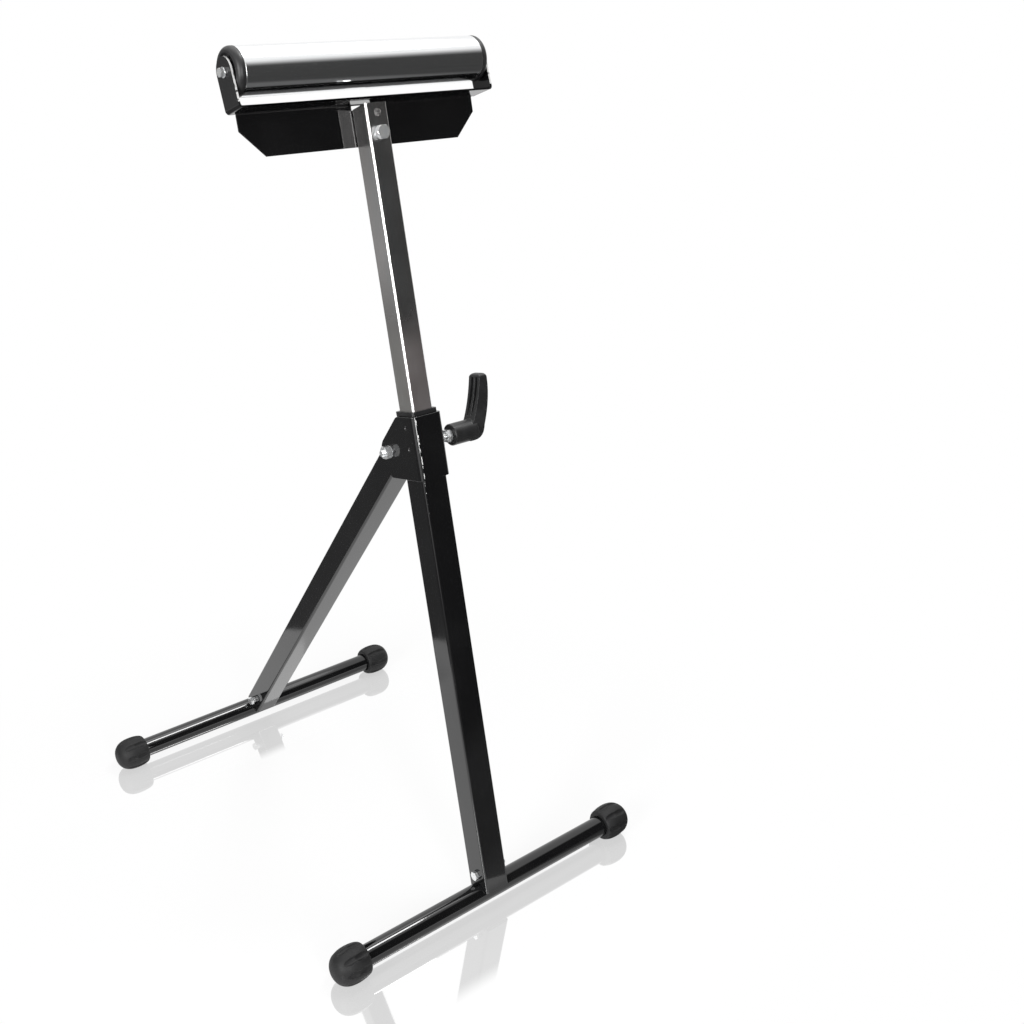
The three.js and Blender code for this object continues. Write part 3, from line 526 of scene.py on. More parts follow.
def upright(name, foot, along, low, high, shade):
    """A card that stands between two heights, half as wide to each side as along is long."""
    foot = Vector(foot)
    corners = [foot + along, foot - along]
    raised = [corner + Vector((0, 0, high)) for corner in reversed(corners)]
    return card(name, [corner + Vector((0, 0, low)) for corner in corners] + raised, shade)


LIFT = Vector((0, 0, 2 * MM))
out = Vector((0.58, -0.81, 0))
across = Vector((0.81, 0.58, 0))
near = Vector((0, -0.07, 0)) + 0.28 * out
far = Vector((0, -0.07, 0)) + 1.30 * out
half = 1.3 * across


def wall_shade(place):
    """Dark, and white again above the height that the roller should mirror as dark."""
    return 0.05 + 0.95 * place.part(2).between(1.4, 2.2)


def front_shade(place):
    """Pale beside the stand, grey in front of it and darker further away."""
    reach = place.length()
    return 0.29 - 0.16 * reach.between(0.32, 0.5) - 0.08 * reach.between(0.85, 1.2)


upright("dark_wall", far, half, 0, 2.9, wall_shade)
front_corners = (near - half, far - half, far + half, near + half)
card("grey_front", [corner + LIFT for corner in front_corners], front_shade)
print("front cards", round(far.length, 2), "m away")

# %% Cards at the left
edge_middle = Vector((-0.28, 0.365, 0))
edge_along = 3 * Vector((0.666, 0.746, 0))
outwards = 3.5 * Vector((-0.746, 0.666, 0))
near_edge = [edge_middle - edge_along, edge_middle + edge_along]
far_edge = [corner + outwards for corner in reversed(near_edge)]


def back_shade(place):
    """Grey, with a paler band near the floor."""
    height = place.part(2)
    band = height.between(0.06, 0.16) - 0.8 * height.between(0.28, 0.45)
    return 0.22 + 0.24 * band


card("grey_left", [corner + LIFT for corner in near_edge + far_edge], level(0.15))
upright("grey_back", (-1.43, 1.95, 0), Vector((-1.64, -1.14, 0)), 0, 1.7, back_shade)
upright("grey_low", (-0.69, -2.2, 0), Vector((0.75, -0.22, 0)), 0, 0.56, level(0.3))
low_near = [Vector((0.05, -0.95, 0)), Vector((-0.85, -0.45, 0))]
low_far = [Vector((-2.4, -1.3, 0)), Vector((-0.3, -2.6, 0))]
card("grey_floor", [corner + LIFT for corner in low_near + low_far], level(0.25))

# %% [markdown]
# ## Tools of the bench
#
# Every piece starts from one primitive with nothing else selected, because an operator
# works on all that is selected. A modifier is applied as soon as it is added, and a piece
# that is finished gets its place written into its mesh.

# %% Adding, placing and applying


def only(piece):
    """Select this piece alone and make it the active one."""
    bpy.ops.object.select_all(action="DESELECT")
    piece.select_set(True)
    bpy.context.view_layer.objects.active = piece


def add(name, primitive, **settings):
    """Add one primitive with nothing else selected, and name it."""
    bpy.ops.object.select_all(action="DESELECT")
    primitive(**settings)
    piece = bpy.context.object
    piece.name = name
    piece.data.name = name
    return piece


def settle(piece, place=Matrix()):
    """Move a piece to its place and leave the place in its mesh."""
    only(piece)
    piece.matrix_world = place @ piece.matrix_world
    bpy.ops.object.transform_apply(location=True, rotation=True, scale=True)
    return piece


def finish_with(piece, kind, **settings):
    """Add one modifier to a piece and apply it."""
    only(piece)
    modifier = piece.modifiers.new(kind.lower(), kind)
    for name, value in settings.items():
        setattr(modifier, name, value)
    bpy.ops.object.modifier_apply(modifier=modifier.name)
    return piece


def cut(piece, cutter, operation="DIFFERENCE"):
    """Cut a piece with another, or join or keep what they share, and clear the other away."""
    finish_with(piece, "BOOLEAN", object=cutter, operation=operation, solver="EXACT")
    bpy.data.objects.remove(cutter)
    return piece


def soften(piece, width, segments=3, angle=30):
    """Round every edge that is sharper than an angle."""
    settings = {"limit_method": "ANGLE", "angle_limit": math.radians(angle)}
    return finish_with(piece, "BEVEL", width=width * MM, segments=segments, **settings)


def twin(piece, name):
    """A copy of a finished shape with its own mesh."""
    copy = piece.copy()
    copy.data = piece.data.copy()
    copy.name = name
    copy.data.name = name
    bpy.context.scene.collection.objects.link(copy)
    return copy


print("bench ready")

# %% [markdown]
# ## Picking and drawing in edit mode
#
# Faces and edges are picked by a test on their place or direction. An outline is drawn as
# by hand: a plane is merged to a single point, and the point is extruded from place to
# place. The drawn line is then either spun round the X axis, as on a lathe, or filled and
# pushed to a thickness, as from sheet.

# %% Picking and drawing


def pick(piece, kind, test):
    """In edit mode, select the points, edges or faces that pass a test, and no others."""
    bpy.ops.mesh.select_mode(type=kind)
    bpy.ops.mesh.select_all(action="DESELECT")
    shape = bmesh.from_edit_mesh(piece.data)
    for part in {"VERT": shape.verts, "EDGE": shape.edges, "FACE": shape.faces}[kind]:
        if test(part):
            part.select_set(True)
    shape.select_flush_mode()
    bmesh.update_edit_mesh(piece.data)


def draw(name, points):
    """A line through points in millimetres, left in edit mode with all of it selected."""
    piece = add(name, bpy.ops.mesh.primitive_plane_add, size=MM, enter_editmode=True)
    bpy.ops.mesh.select_mode(type="VERT")
    bpy.ops.mesh.merge(type="CENTER")
    bpy.ops.transform.translate(value=Vector(points[0]) * MM)
    for here, there in zip(points, points[1:]):
        step = (Vector(there) - Vector(here)) * MM
        bpy.ops.mesh.extrude_region_move(TRANSFORM_OT_translate={"value": step})
    bpy.ops.mesh.select_all(action="SELECT")
    return piece


def close_up():
    """Merge what meets, point all faces outwards and leave edit mode."""
    bpy.ops.mesh.select_all(action="SELECT")
    bpy.ops.mesh.remove_doubles(threshold=0.002 * MM)
    bpy.ops.mesh.normals_make_consistent(inside=False)
    bpy.ops.object.mode_set(mode="OBJECT")


def turned(name, profile, sides):
    """A shape spun round the X axis from a profile of (along, radius) in millimetres."""
    piece = draw(name, [(along, 0, radius) for along, radius in profile])
    bpy.ops.mesh.spin(steps=sides, angle=math.tau, center=(0, 0, 0), axis=(1, 0, 0))
    close_up()
    return piece


def slab(name, outline, push):
    """A flat outline of points in millimetres, filled and pushed to a thickness."""
    piece = draw(name, [*outline, outline[0]])
    bpy.ops.mesh.remove_doubles(threshold=0.002 * MM)
    bpy.ops.mesh.edge_face_add()
    bpy.ops.mesh.extrude_region_move(TRANSFORM_OT_translate={"value": Vector(push) * MM})
    close_up()
    return piece


def rod(name, diameter, start, end, sides=48):
    """A round bar along X, for cutting holes and as stock."""
    length = (end - start) * MM
    middle = ((start + end) / 2 * MM, 0, 0)
    settings = {"vertices": sides, "radius": diameter / 2 * MM, "depth": length}
    turn = (0, math.pi / 2, 0)
    bar = add(name, bpy.ops.mesh.primitive_cylinder_add, location=middle, rotation=turn, **settings)
    return settle(bar)


def block(name, low, high):
    """A box between two corners in millimetres."""
    low = Vector(low) * MM
    high = Vector(high) * MM
    box = add(name, bpy.ops.mesh.primitive_cube_add, size=1, location=(low + high) / 2, scale=high - low)
    return settle(box)


def moved(x, y, z):
    """A shift in millimetres."""
    return Matrix.Translation(Vector((x, y, z)) * MM)


def arc(centre, radius, start, end, steps=12):
    """Points of an arc in a plane, with its angles in degrees."""
    points = []
    for step in range(steps + 1):
        angle = math.radians(start + (end - start) * step / steps)
        points.append((centre[0] + radius * math.cos(angle), centre[1] + radius * math.sin(angle)))
    return points


print("drawing tools ready")

# %% [markdown]
# ## Dressing a piece
#
# A finished shape is shaded smooth up to its sharp edges. On a tube with rounded corners
# that alone would bend the light across the flat sides, so the normals are weighted by the
# size of the faces. Then the piece gets its finish, its body and the solid it stands for.

# %% Dressing


def dress(piece, look, body, *nodes):
    """Shade a finished shape, give it a finish, and let it stand for nodes of a body."""
    only(piece)
    bpy.ops.object.shade_smooth_by_angle(angle=math.radians(32))
    finish_with(piece, "WEIGHTED_NORMAL", keep_sharp=True)
    piece.data.materials.clear()
    piece.data.materials.append(finishes[look])
    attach(piece, body)
    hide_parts(*nodes)
    print(piece.name, len(piece.data.polygons), "faces for", ", ".join(nodes))


# %% [markdown]
# ## Square tubes
#
# Both legs and the mast are welded square tube with rolled corners. A cube at the tube's
# size gets its four long edges bevelled, loses its ends and is given a wall. Holes and the
# round seat on the crossbar are cut afterwards, as in the shop.

# %% Square tube


def square_tube(name, side, corner, bottom, top, wall=1.5):
    """An upright square tube between two heights, open at both ends."""
    half = side / 2
    tube = block(name, (-half, -half, bottom), (half, half, top))
    bpy.ops.object.mode_set(mode="EDIT")
    pick(tube, "EDGE", lambda edge: abs(edge.verts[0].co.z - edge.verts[1].co.z) > side * MM)
    bpy.ops.mesh.bevel(offset=corner * MM, segments=6, affect="EDGES")
    pick(tube, "FACE", lambda face: abs(face.normal.z) > 0.9)
    bpy.ops.mesh.delete(type="FACE")
    bpy.ops.object.mode_set(mode="OBJECT")
    return finish_with(tube, "SOLIDIFY", thickness=wall * MM, offset=-1, use_even_offset=True)


def cross_hole(piece, diameter, start, end, height, depth=0):
    """A round hole along X through a piece."""
    drill = rod("drill", diameter, start, end)
    return cut(piece, settle(drill, moved(0, depth, height)))


CROSSBAR = 25
GAP = 0.3
FOOT_BOLT_HEIGHT = 23
FRONT_SIDE = 32
FRONT_TOP = 563.6
CLAMP_HEIGHT = 531.4
front_leg = square_tube("front_leg_tube", FRONT_SIDE, 3, 3.6, FRONT_TOP)
cross_hole(front_leg, CROSSBAR + 2 * GAP, -40, 40, 0)
cross_hole(front_leg, 6.6, -40, 40, FOOT_BOLT_HEIGHT)
cross_hole(front_leg, 8.6, 0, 40, CLAMP_HEIGHT)
settle(front_leg, front_frame)
dress(front_leg, "black_paint", "front_frame", "front_leg")

# %% [markdown]
# ## Rear leg
#
# The rear leg is the same tube, a little narrower. Its top is mitred, so that it stops
# against the front leg when the stand is open, with a second cut that lets it swing.

# %% Rear leg
REAR_SIDE = 30
PIVOT_OFFSET = 33
MITRE_RELIEF = 15
pivot_reach = (pivot_place - rear_foot).length / MM
rear_leg = square_tube("rear_leg_tube", REAR_SIDE, 3, 6, pivot_reach + 60)
cross_hole(rear_leg, CROSSBAR + 2 * GAP, -40, 40, 0)
cross_hole(rear_leg, 6.6, -40, 40, FOOT_BOLT_HEIGHT)
cross_hole(rear_leg, 8.6, -40, 40, pivot_reach)
opening = math.degrees(front_lean + rear_lean)
for angle in (opening, opening - MITRE_RELIEF):
    saw = block("saw", (-40, PIVOT_OFFSET - FRONT_SIDE / 2 - GAP, -120), (40, 160, 120))
    swing = Matrix.Rotation(math.radians(180 - angle), 4, "X")
    cut(rear_leg, settle(saw, moved(0, 0, pivot_reach) @ swing))
settle(rear_leg, rear_frame)
dress(rear_leg, "black_paint", "rear_frame", "rear_leg")

# %% [markdown]
# ## Mast
#
# The mast is the inner tube that slides in the front leg. Its top is sawn at a slant, higher
# at the front. Below it are a spare hole and the hole of the bolt that holds the head.

# %% Mast
MAST_SIDE = 26
MAST_TOP = 879
MAST_CUT = 8.5
HEAD_BOLT_HEIGHT = 850
SPARE_HOLE_HEIGHT = 869.7


def deep_hole(piece, diameter, height, start=-40, end=40):
    """A round hole along Y through a piece."""
    drill = rod("drill", diameter, start, end)
    return cut(piece, settle(drill, moved(0, 0, height) @ Matrix.Rotation(math.pi / 2, 4, "Z")))


mast = square_tube("mast_tube_plated", MAST_SIDE, 2.8, 339, MAST_TOP)
slant = Matrix.Rotation(math.radians(-MAST_CUT), 4, "X")
offcut = block("offcut", (-MAST_SIDE, 0, 0), (MAST_SIDE, 2 * MAST_SIDE, MAST_SIDE))
cut(mast, settle(offcut, moved(0, -MAST_SIDE / 2, MAST_TOP) @ slant))
deep_hole(mast, 8.6, HEAD_BOLT_HEIGHT)
deep_hole(mast, 7.7, SPARE_HOLE_HEIGHT)
soften(mast, 0.5, 3)
settle(mast, front_frame)
dress(mast, "plated_tube", "mast", "mast_tube")

# %% [markdown]
# ## Crossbars
#
# Each foot is a length of round tube. A cylinder without its ends is given a wall, and the
# cut ends get a small round.

# %% Crossbars


def crossbar(name, length, foot, body, node):
    """A round tube along X through the middle of a foot."""
    turn = (0, math.pi / 2, 0)
    settings = {"vertices": 96, "radius": CROSSBAR / 2 * MM, "depth": length * MM}
    settings["end_fill_type"] = "NOTHING"
    tube = add(name, bpy.ops.mesh.primitive_cylinder_add, location=foot, rotation=turn, **settings)
    settle(tube)
    finish_with(tube, "SOLIDIFY", thickness=1.5 * MM, offset=-1)
    soften(tube, 0.3)
    dress(tube, "black_paint", body, node)


crossbar("front_crossbar_tube", 416, front_foot, "front_frame", "front_crossbar")
crossbar("rear_crossbar_tube", 424, rear_foot, "rear_frame", "rear_crossbar")

# %% [markdown]
# ## Foot caps
#
# The rubber caps are moulded: a rounded lip, a belly, a blunt dome and eight leaf shaped
# flutes. The body is turned, each flute is scooped out with two stretched spheres that lean
# with the belly, and a voxel remesh followed by smoothing melts the rims as a mould does. One
# cap is modelled and copied four times. The two hands of a pair have their flutes turned
# opposite ways, so each copy is turned first and then cut flat on its floor side.

# %% Foot cap
CAP_LENGTH = 40
CAP_BELLY = 16
CAP_RADIUS = 21
CAP_MOUTH = 16.5
CAP_BORE_DEPTH = 31.8
CAP_SQUARENESS = 2.5
FLUTES = 8
FLUTE_TURN = 9
SCOOPS = ((11, 20.6, 6), (22.5, 20.8, -9))


def quarter(steps):
    """Angles of a quarter turn."""
    return [math.pi / 2 * step / steps for step in range(steps + 1)]


def foot_cap_profile():
    """Half a section of the cap, from the bottom of its bore round to the end of its dome."""
    bore = CROSSBAR / 2 + GAP
    rise = CAP_RADIUS - CAP_MOUTH
    power = 2 / CAP_SQUARENESS
    dome = CAP_LENGTH - CAP_BELLY
    profile = [(CAP_BORE_DEPTH, 0), (CAP_BORE_DEPTH, bore), (0, bore)]
    for turn in quarter(16):
        profile.append((CAP_BELLY * (1 - math.cos(turn)), CAP_MOUTH + rise * math.sin(turn)))
    for turn in quarter(24)[1:-1]:
        profile.append((CAP_BELLY + dome * math.sin(turn) ** power, CAP_RADIUS * math.cos(turn) ** power))
    return [*profile, (CAP_LENGTH, 0)]


foot_cap = turned("foot_cap", foot_cap_profile(), 96)
for flute in range(FLUTES):
    for along, depth, lean in SCOOPS:
        scoop = add("scoop", bpy.ops.mesh.primitive_uv_sphere_add, segments=32, ring_count=16, radius=MM)
        scoop.scale = (13, 3.6, 2.6)
        settle(scoop, moved(along, 0, -depth) @ Matrix.Rotation(math.radians(lean), 4, "Y"))
        settle(scoop, Matrix.Rotation(math.tau * flute / FLUTES, 4, "X"))
        cut(foot_cap, scoop)
finish_with(foot_cap, "REMESH", mode="VOXEL", voxel_size=0.5 * MM)
finish_with(foot_cap, "SMOOTH", factor=0.5, iterations=3)
print("foot cap", len(foot_cap.data.polygons), "faces")

# %% Four foot caps
for end, foot in (("front", front_foot), ("rear", rear_foot)):
    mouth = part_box(end + "_foot_cap_right")[0].x
    for side, towards in (("left", -1), ("right", 1)):
        cap = twin(foot_cap, f"{end}_rubber_cap_{side}")
        settle(cap, Matrix.Rotation(math.radians(-towards * FLUTE_TURN), 4, "X"))
        bpy.ops.object.mode_set(mode="EDIT")
        bpy.ops.mesh.select_all(action="SELECT")
        floor_side = {"plane_co": (0, 0, -foot.z), "plane_no": (0, 0, -1)}
        bpy.ops.mesh.bisect(clear_outer=True, use_fill=True, **floor_side)
        bpy.ops.object.mode_set(mode="OBJECT")
        turn = Matrix.Rotation(math.pi if towards < 0 else 0, 4, "Z")
        settle(cap, Matrix.Translation((towards * mouth, foot.y, foot.z)) @ turn)
        dress(cap, "rubber", end + "_frame", f"{end}_foot_cap_{side}")
bpy.data.objects.remove(foot_cap)

# %% [markdown]
# ## Pivot bracket
#
# A strip of steel is folded round the front of the leg, and its two cheeks carry the pivot
# of the rear leg. The side view is drawn and pushed across the leg, the two front folds are
# bevelled, and the inside is cut out. Small pressed dimples in the left cheek grip the leg.

# %% Pivot bracket
CHEEK_INNER = 16.3
CHEEK_OUTER = 19.3
BRACKET_BOTTOM = 494.6
PIVOT_HEIGHT = 524.5
CHEEK_NOSE = 16
HEEL = PIVOT_OFFSET + 4.5
FOLD = 6
CORNER = 4


def rounded(before, corner, after, size, steps=6):
    """Points that round one corner of an outline, from one side to the other."""
    corner = Vector(corner)
    start = corner + (Vector(before) - corner).normalized() * size
    end = corner + (Vector(after) - corner).normalized() * size
    points = []
    for step in range(steps + 1):
        share = step / steps
        points.append(start.lerp(corner, share).lerp(corner.lerp(end, share), share))
    return [tuple(point) for point in points]


def cheek_outline():
    """Side view of the bracket in (depth, height), round about the pivot."""
    pivot = Vector((PIVOT_OFFSET, PIVOT_HEIGHT))
    heel = Vector((HEEL, BRACKET_BOTTOM))
    reach = heel - pivot
    lowest = math.degrees(math.atan2(reach.y, reach.x) + math.acos(CHEEK_NOSE / reach.length))
    nose = arc(pivot, CHEEK_NOSE, lowest, opening, 24)
    top = nose[-1]
    shoulder = (top[0] - (FRONT_TOP - top[1]) * math.tan(math.radians(opening)), FRONT_TOP)
    low = (-CHEEK_OUTER, BRACKET_BOTTOM)
    high = (-CHEEK_OUTER, FRONT_TOP)
    return [
        low,
        *rounded(low, heel, nose[0], CORNER),
        *nose,
        *rounded(top, shoulder, high, CORNER),
        high,
    ]


side_view = [(-CHEEK_OUTER, depth, height) for depth, height in cheek_outline()]
bracket = slab("pivot_bracket_folded", side_view, (2 * CHEEK_OUTER, 0, 0))


def fold_edges(piece, front, radius):
    """Round the two upright edges at the front of a block."""
    only(piece)
    bpy.ops.object.mode_set(mode="EDIT")
    at_front = lambda edge: all(abs(vert.co.y - front * MM) < MM / 10 for vert in edge.verts)
    upright = lambda edge: abs(edge.verts[0].co.z - edge.verts[1].co.z) > 20 * MM
    pick(piece, "EDGE", lambda edge: at_front(edge) and upright(edge))
    bpy.ops.mesh.bevel(offset=radius * MM, segments=8, affect="EDGES")
    bpy.ops.object.mode_set(mode="OBJECT")


fold_edges(bracket, -CHEEK_OUTER, FOLD)
inside = block("inside", (-CHEEK_INNER, -CHEEK_INNER, 480), (CHEEK_INNER, 80, 580))
fold_edges(inside, -CHEEK_INNER, FOLD - 3)
cut(bracket, inside)
cross_hole(bracket, 8.6, -40, 40, PIVOT_HEIGHT, PIVOT_OFFSET)
cross_hole(bracket, 8.6, 0, 40, CLAMP_HEIGHT)
soften(bracket, 0.6, 3)
for depth, height, radius in ((-4.2, 551.9, 3.2), (-5.2, 528.8, 3.2), (14.5, 525.5, 2)):
    size = {"segments": 48, "ring_count": 24, "radius": radius * MM}
    punch = add("punch", bpy.ops.mesh.primitive_uv_sphere_add, **size)
    cut(bracket, settle(punch, moved(-CHEEK_OUTER - 0.68 * radius, depth, height)))
settle(bracket, front_frame)
dress(bracket, "black_paint", "front_frame", "pivot_bracket")

# %% [markdown]
# ## Head bracket
#
# One sheet makes the whole head: a strap under the roller, an ear at each end, and a guide
# plate folded down behind the mast with its lower corners cut off. The fold is a little more
# than square, so the strap rises to the front. The strap and ears are cut from the front and
# side views and tilted about the fold, and the guide plate is drawn as a section and joined.
# The front rims of the ears are marked for the paint's rubbed bright rim, which is partly wear and partly
# a painted highlight.

# %% Head bracket
EAR_INNER = 148.5
EAR_OUTER = 150.5
SHEET = 2
BEND = 4
STRAP_TILT = 6.5
STRAP_WIDTH = 28.6
STRAP_REAR = MAST_SIDE / 2 + GAP + SHEET
STRAP_FRONT = STRAP_REAR - STRAP_WIDTH
STRAP_BOTTOM = MAST_TOP + 0.8
EAR_MIDDLE = STRAP_REAR - STRAP_WIDTH / 2
EAR_HEIGHT = STRAP_BOTTOM + 35.85
GUIDE_HALF = 141
GUIDE_BOTTOM = MAST_TOP - 39.7
GUIDE_CHAMFER = 25
turn = Matrix.Rotation(math.radians(-STRAP_TILT), 4, "X")
strap_tilt = moved(0, STRAP_REAR, STRAP_BOTTOM) @ turn @ moved(0, -STRAP_REAR, -STRAP_BOTTOM)
roller_axis = strap_tilt @ moved(0, EAR_MIDDLE, EAR_HEIGHT).translation


def strap_outline():
    """Front view of the level strap and its two ears, in (x, height)."""
    top = EAR_HEIGHT + 20
    turn = EAR_OUTER - BEND
    height = STRAP_BOTTOM + BEND
    right_out = arc((turn, height), BEND, 270, 360, 8)
    right_in = arc((turn, height), BEND - SHEET, 360, 270, 8)
    right = [*right_out, (EAR_OUTER, top), (EAR_INNER, top), *right_in]
    left = [(-x, z) for x, z in reversed(right)]
    return [*right, *left]


def ear_outline():
    """Side view of a level ear, in (depth, height), round about the hole of the axle."""
    crown = arc((EAR_MIDDLE, EAR_HEIGHT), STRAP_WIDTH / 2, 0, 180, 32)
    return [(STRAP_FRONT, STRAP_BOTTOM - 1), (STRAP_REAR, STRAP_BOTTOM - 1), *crown]


def guide_outline():
    """Section through the tilted strap and the guide plate, in (depth, height)."""
    turn = 90 - STRAP_TILT
    up = Vector((math.cos(math.radians(turn)), math.sin(math.radians(turn))))
    front = Vector((STRAP_REAR, STRAP_BOTTOM)) + STRAP_WIDTH * Vector((-up.y, up.x))
    bend = (STRAP_REAR - BEND, STRAP_BOTTOM + (BEND * up.x - BEND + SHEET) / up.y)
    outer = arc(bend, BEND, turn, 0, 8)
    inner = arc(bend, BEND - SHEET, 0, turn, 8)
    foot = [(STRAP_REAR, GUIDE_BOTTOM), (STRAP_REAR - SHEET, GUIDE_BOTTOM)]
    return [tuple(front + SHEET * up), *outer, *foot, *inner, tuple(front)]


head = slab(
    "head_bracket_folded",
    [(x, STRAP_FRONT, height) for x, height in strap_outline()],
    (0, STRAP_WIDTH, 0),
)
ear_view = [(-EAR_OUTER - 1, depth, height) for depth, height in ear_outline()]
cut(head, slab("ears", ear_view, (2 * EAR_OUTER + 2, 0, 0)), "INTERSECT")
settle(head, strap_tilt)
guide_view = [(-GUIDE_HALF, depth, height) for depth, height in guide_outline()]
guide = slab("guide", guide_view, (2 * GUIDE_HALF, 0, 0))
only(guide)
bpy.ops.object.mode_set(mode="EDIT")
for towards in (-1, 1):
    corner = Vector((towards * (GUIDE_HALF - GUIDE_CHAMFER), 0, GUIDE_BOTTOM)) * MM
    bpy.ops.mesh.select_all(action="SELECT")
    bpy.ops.mesh.bisect(plane_co=corner, plane_no=(towards, 0, -1), clear_outer=True, use_fill=True)
bpy.ops.object.mode_set(mode="OBJECT")
cut(head, guide, "UNION")
cut(head, block("window", (-12.5, 13, MAST_TOP - 4), (12.5, STRAP_REAR + BEND, MAST_TOP + 3.4)))
cross_hole(head, 5.6, -200, 200, roller_axis.z / MM, roller_axis.y / MM)
deep_hole(head, 8.6, HEAD_BOLT_HEIGHT)
soften(head, 0.7, 3)
bpy.ops.object.mode_set(mode="EDIT")
bpy.ops.mesh.select_all(action="SELECT")
bpy.ops.mesh.bisect(plane_co=(0, 0, (STRAP_BOTTOM + 9) * MM), plane_no=(0, 0, 1))
bpy.ops.object.mode_set(mode="OBJECT")
# The marked front rims of the ears get bright steel in the paint: partly rubbed wear, partly a painted
# highlight along the edge that faces the light.
rim = head.data.attributes.new("rim", "FLOAT", "FACE")
for face in head.data.polygons:
    on_ear = abs(face.center.x) > EAR_INNER * MM and face.center.z > (STRAP_BOTTOM + 8) * MM
    facing = abs(face.normal.x) < 0.8 and face.normal.y < -0.2
    rim.data[face.index].value = float(on_ear and facing)
settle(head, front_frame)
dress(head, "black_paint", "mast", "head_bracket")

# %% [markdown]
# ## Roller
#
# The roller is a ground tube. Its half section is drawn as a closed loop with small broken
# edges and spun.

# %% Roller
ROLLER_RADIUS = 23.25
ROLLER_HALF = 139.5
roller_frame = front_frame @ Matrix.Translation(roller_axis)
wall = ROLLER_RADIUS - 1.5
section = [(-ROLLER_HALF, wall), (-ROLLER_HALF, ROLLER_RADIUS), (ROLLER_HALF, ROLLER_RADIUS)]
roller = turned("roller_tube_chromed", [*section, (ROLLER_HALF, wall), (-ROLLER_HALF, wall)], 160)
soften(roller, 0.5, 3)
settle(roller, roller_frame)
dress(roller, "chrome", "roller", "roller_tube")

# %% [markdown]
# ## Roller end caps
#
# A moulded cap closes each end of the roller. Its shoulder is a full round, and its face is
# dished, with a ring of small core pockets that show above the ear. The cap is turned, and
# the pockets are drilled.

# %% Roller end caps
CAP_PROUD = 8
SHOULDER = 5.5


def roller_cap_profile():
    """Half a section of the cap, with x = 0 at the end of the roller tube."""
    centre = (CAP_PROUD - SHOULDER, ROLLER_RADIUS - SHOULDER)
    shoulder = [
        (centre[0] + SHOULDER * math.sin(turn), centre[1] + SHOULDER * math.cos(turn))
        for turn in quarter(14)
    ]
    inside = [(-2, 5.6), (-2, 13.3), (-10, 13.3), (-10, 15.3), (-2, 15.3), (-2, 19.45)]
    skirt = [(-12, 19.45), (-12, 21.45), (GAP, 21.45), (GAP, ROLLER_RADIUS)]
    dish = [(CAP_PROUD, 17.4), (7.7, 16.9), (6.3, 16.5), (6, 16.1), (6, 5.6), (-2, 5.6)]
    return [*inside, *skirt, *shoulder, *dish]


roller_cap = turned("roller_cap", roller_cap_profile(), 96)
POCKETS = 12
for pocket in range(POCKETS):
    core = settle(rod("core", 2.8, 3.5, 12, 20), moved(0, 0, 14.6))
    cut(roller_cap, settle(core, Matrix.Rotation(math.tau * pocket / POCKETS, 4, "X")))
for side, towards in (("left", -1), ("right", 1)):
    cap = twin(roller_cap, f"roller_end_cap_{side}")
    turn = Matrix.Rotation(math.pi if towards < 0 else 0, 4, "Z")
    settle(cap, roller_frame @ moved(towards * ROLLER_HALF, 0, 0) @ turn)
    dress(cap, "black_plastic", "roller", f"roller_cap_{side}")
bpy.data.objects.remove(roller_cap)

# %% [markdown]
# ## Bolts, nuts and washers
#
# All fasteners are hexagon parts in three sizes. A six-sided bar shares its space with a
# turned blank, which leaves the curved breaks on the corners. The shank is turned with the
# thread as a row of ridges, because at this size rings and a helix look the same.

# %% Fasteners


def hexagon(name, across, start, end, break_start, break_end):
    """A hexagon along X with the corners of either face broken."""
    corner = across / math.sqrt(3)
    slope = 0.6 * (corner - across / 2)
    flat = across / 2 * 0.97
    near = [(start, flat), (start + slope, corner)] if break_start else [(start, corner)]
    last = [(end - slope, corner), (end, flat)] if break_end else [(end, corner)]
    prism = rod(name, 2 * corner, start, end, 6)
    return cut(prism, turned("blank", [(start, 0), *near, *last, (end, 0)], 48), "INTERSECT")


def ridges(radius, pitch, start, end):
    """Profile of a thread between two places."""
    profile = []
    for turn in range(int((end - start) / pitch)):
        crest = start + turn * pitch
        profile.append((crest, radius))
        profile.append((crest + pitch / 2, radius - 0.55 * pitch))
    return profile


def bolt(name, thread, across, head, length, threaded):
    """A bolt along X with the underside of its head at x = 0 and its shank towards +X."""
    radius = thread / 2
    pitch = 1 if thread < 8 else 1.25
    tip = thread / 8
    profile = [(-head / 2, 0), (-head / 2, radius)]
    profile += ridges(radius, pitch, length - threaded, length - tip)
    profile += [(length - tip, radius), (length, radius - tip), (length, 0)]
    shank = turned(name, profile, 32)
    return cut(shank, hexagon("head", across, -head, 0, True, False), "UNION")


def nut(name, thread, across, height):
    """A nut along X from x = 0."""
    body = hexagon(name, across, 0, height, True, True)
    return cut(body, rod("tap", thread + 0.4, -1, height + 1, 32))


def washer(name, bore, diameter, thickness):
    """A washer along X from x = 0, with its edges rounded by stamping."""
    inner = bore / 2
    outer = diameter / 2
    profile = [(0, inner), (0, outer), (thickness, outer), (thickness, inner), (0, inner)]
    return soften(turned(name, profile, 48), 0.25, 2)


print("fastener patterns ready")

# %% [markdown]
# ## Fasteners of the feet and the pivot
#
# A small bolt holds each leg on its crossbar, with its head on the left. On the rear leg a
# short sleeve lifts the head. The pivot bolt is larger and has its nut and a length of
# thread on the left, where the photograph shows them.

# %% Feet and pivot


def fit(piece, place, body, node, look="zinc"):
    """Put a fastener in its place and dress it."""
    settle(piece, place)
    dress(piece, look, body, node)


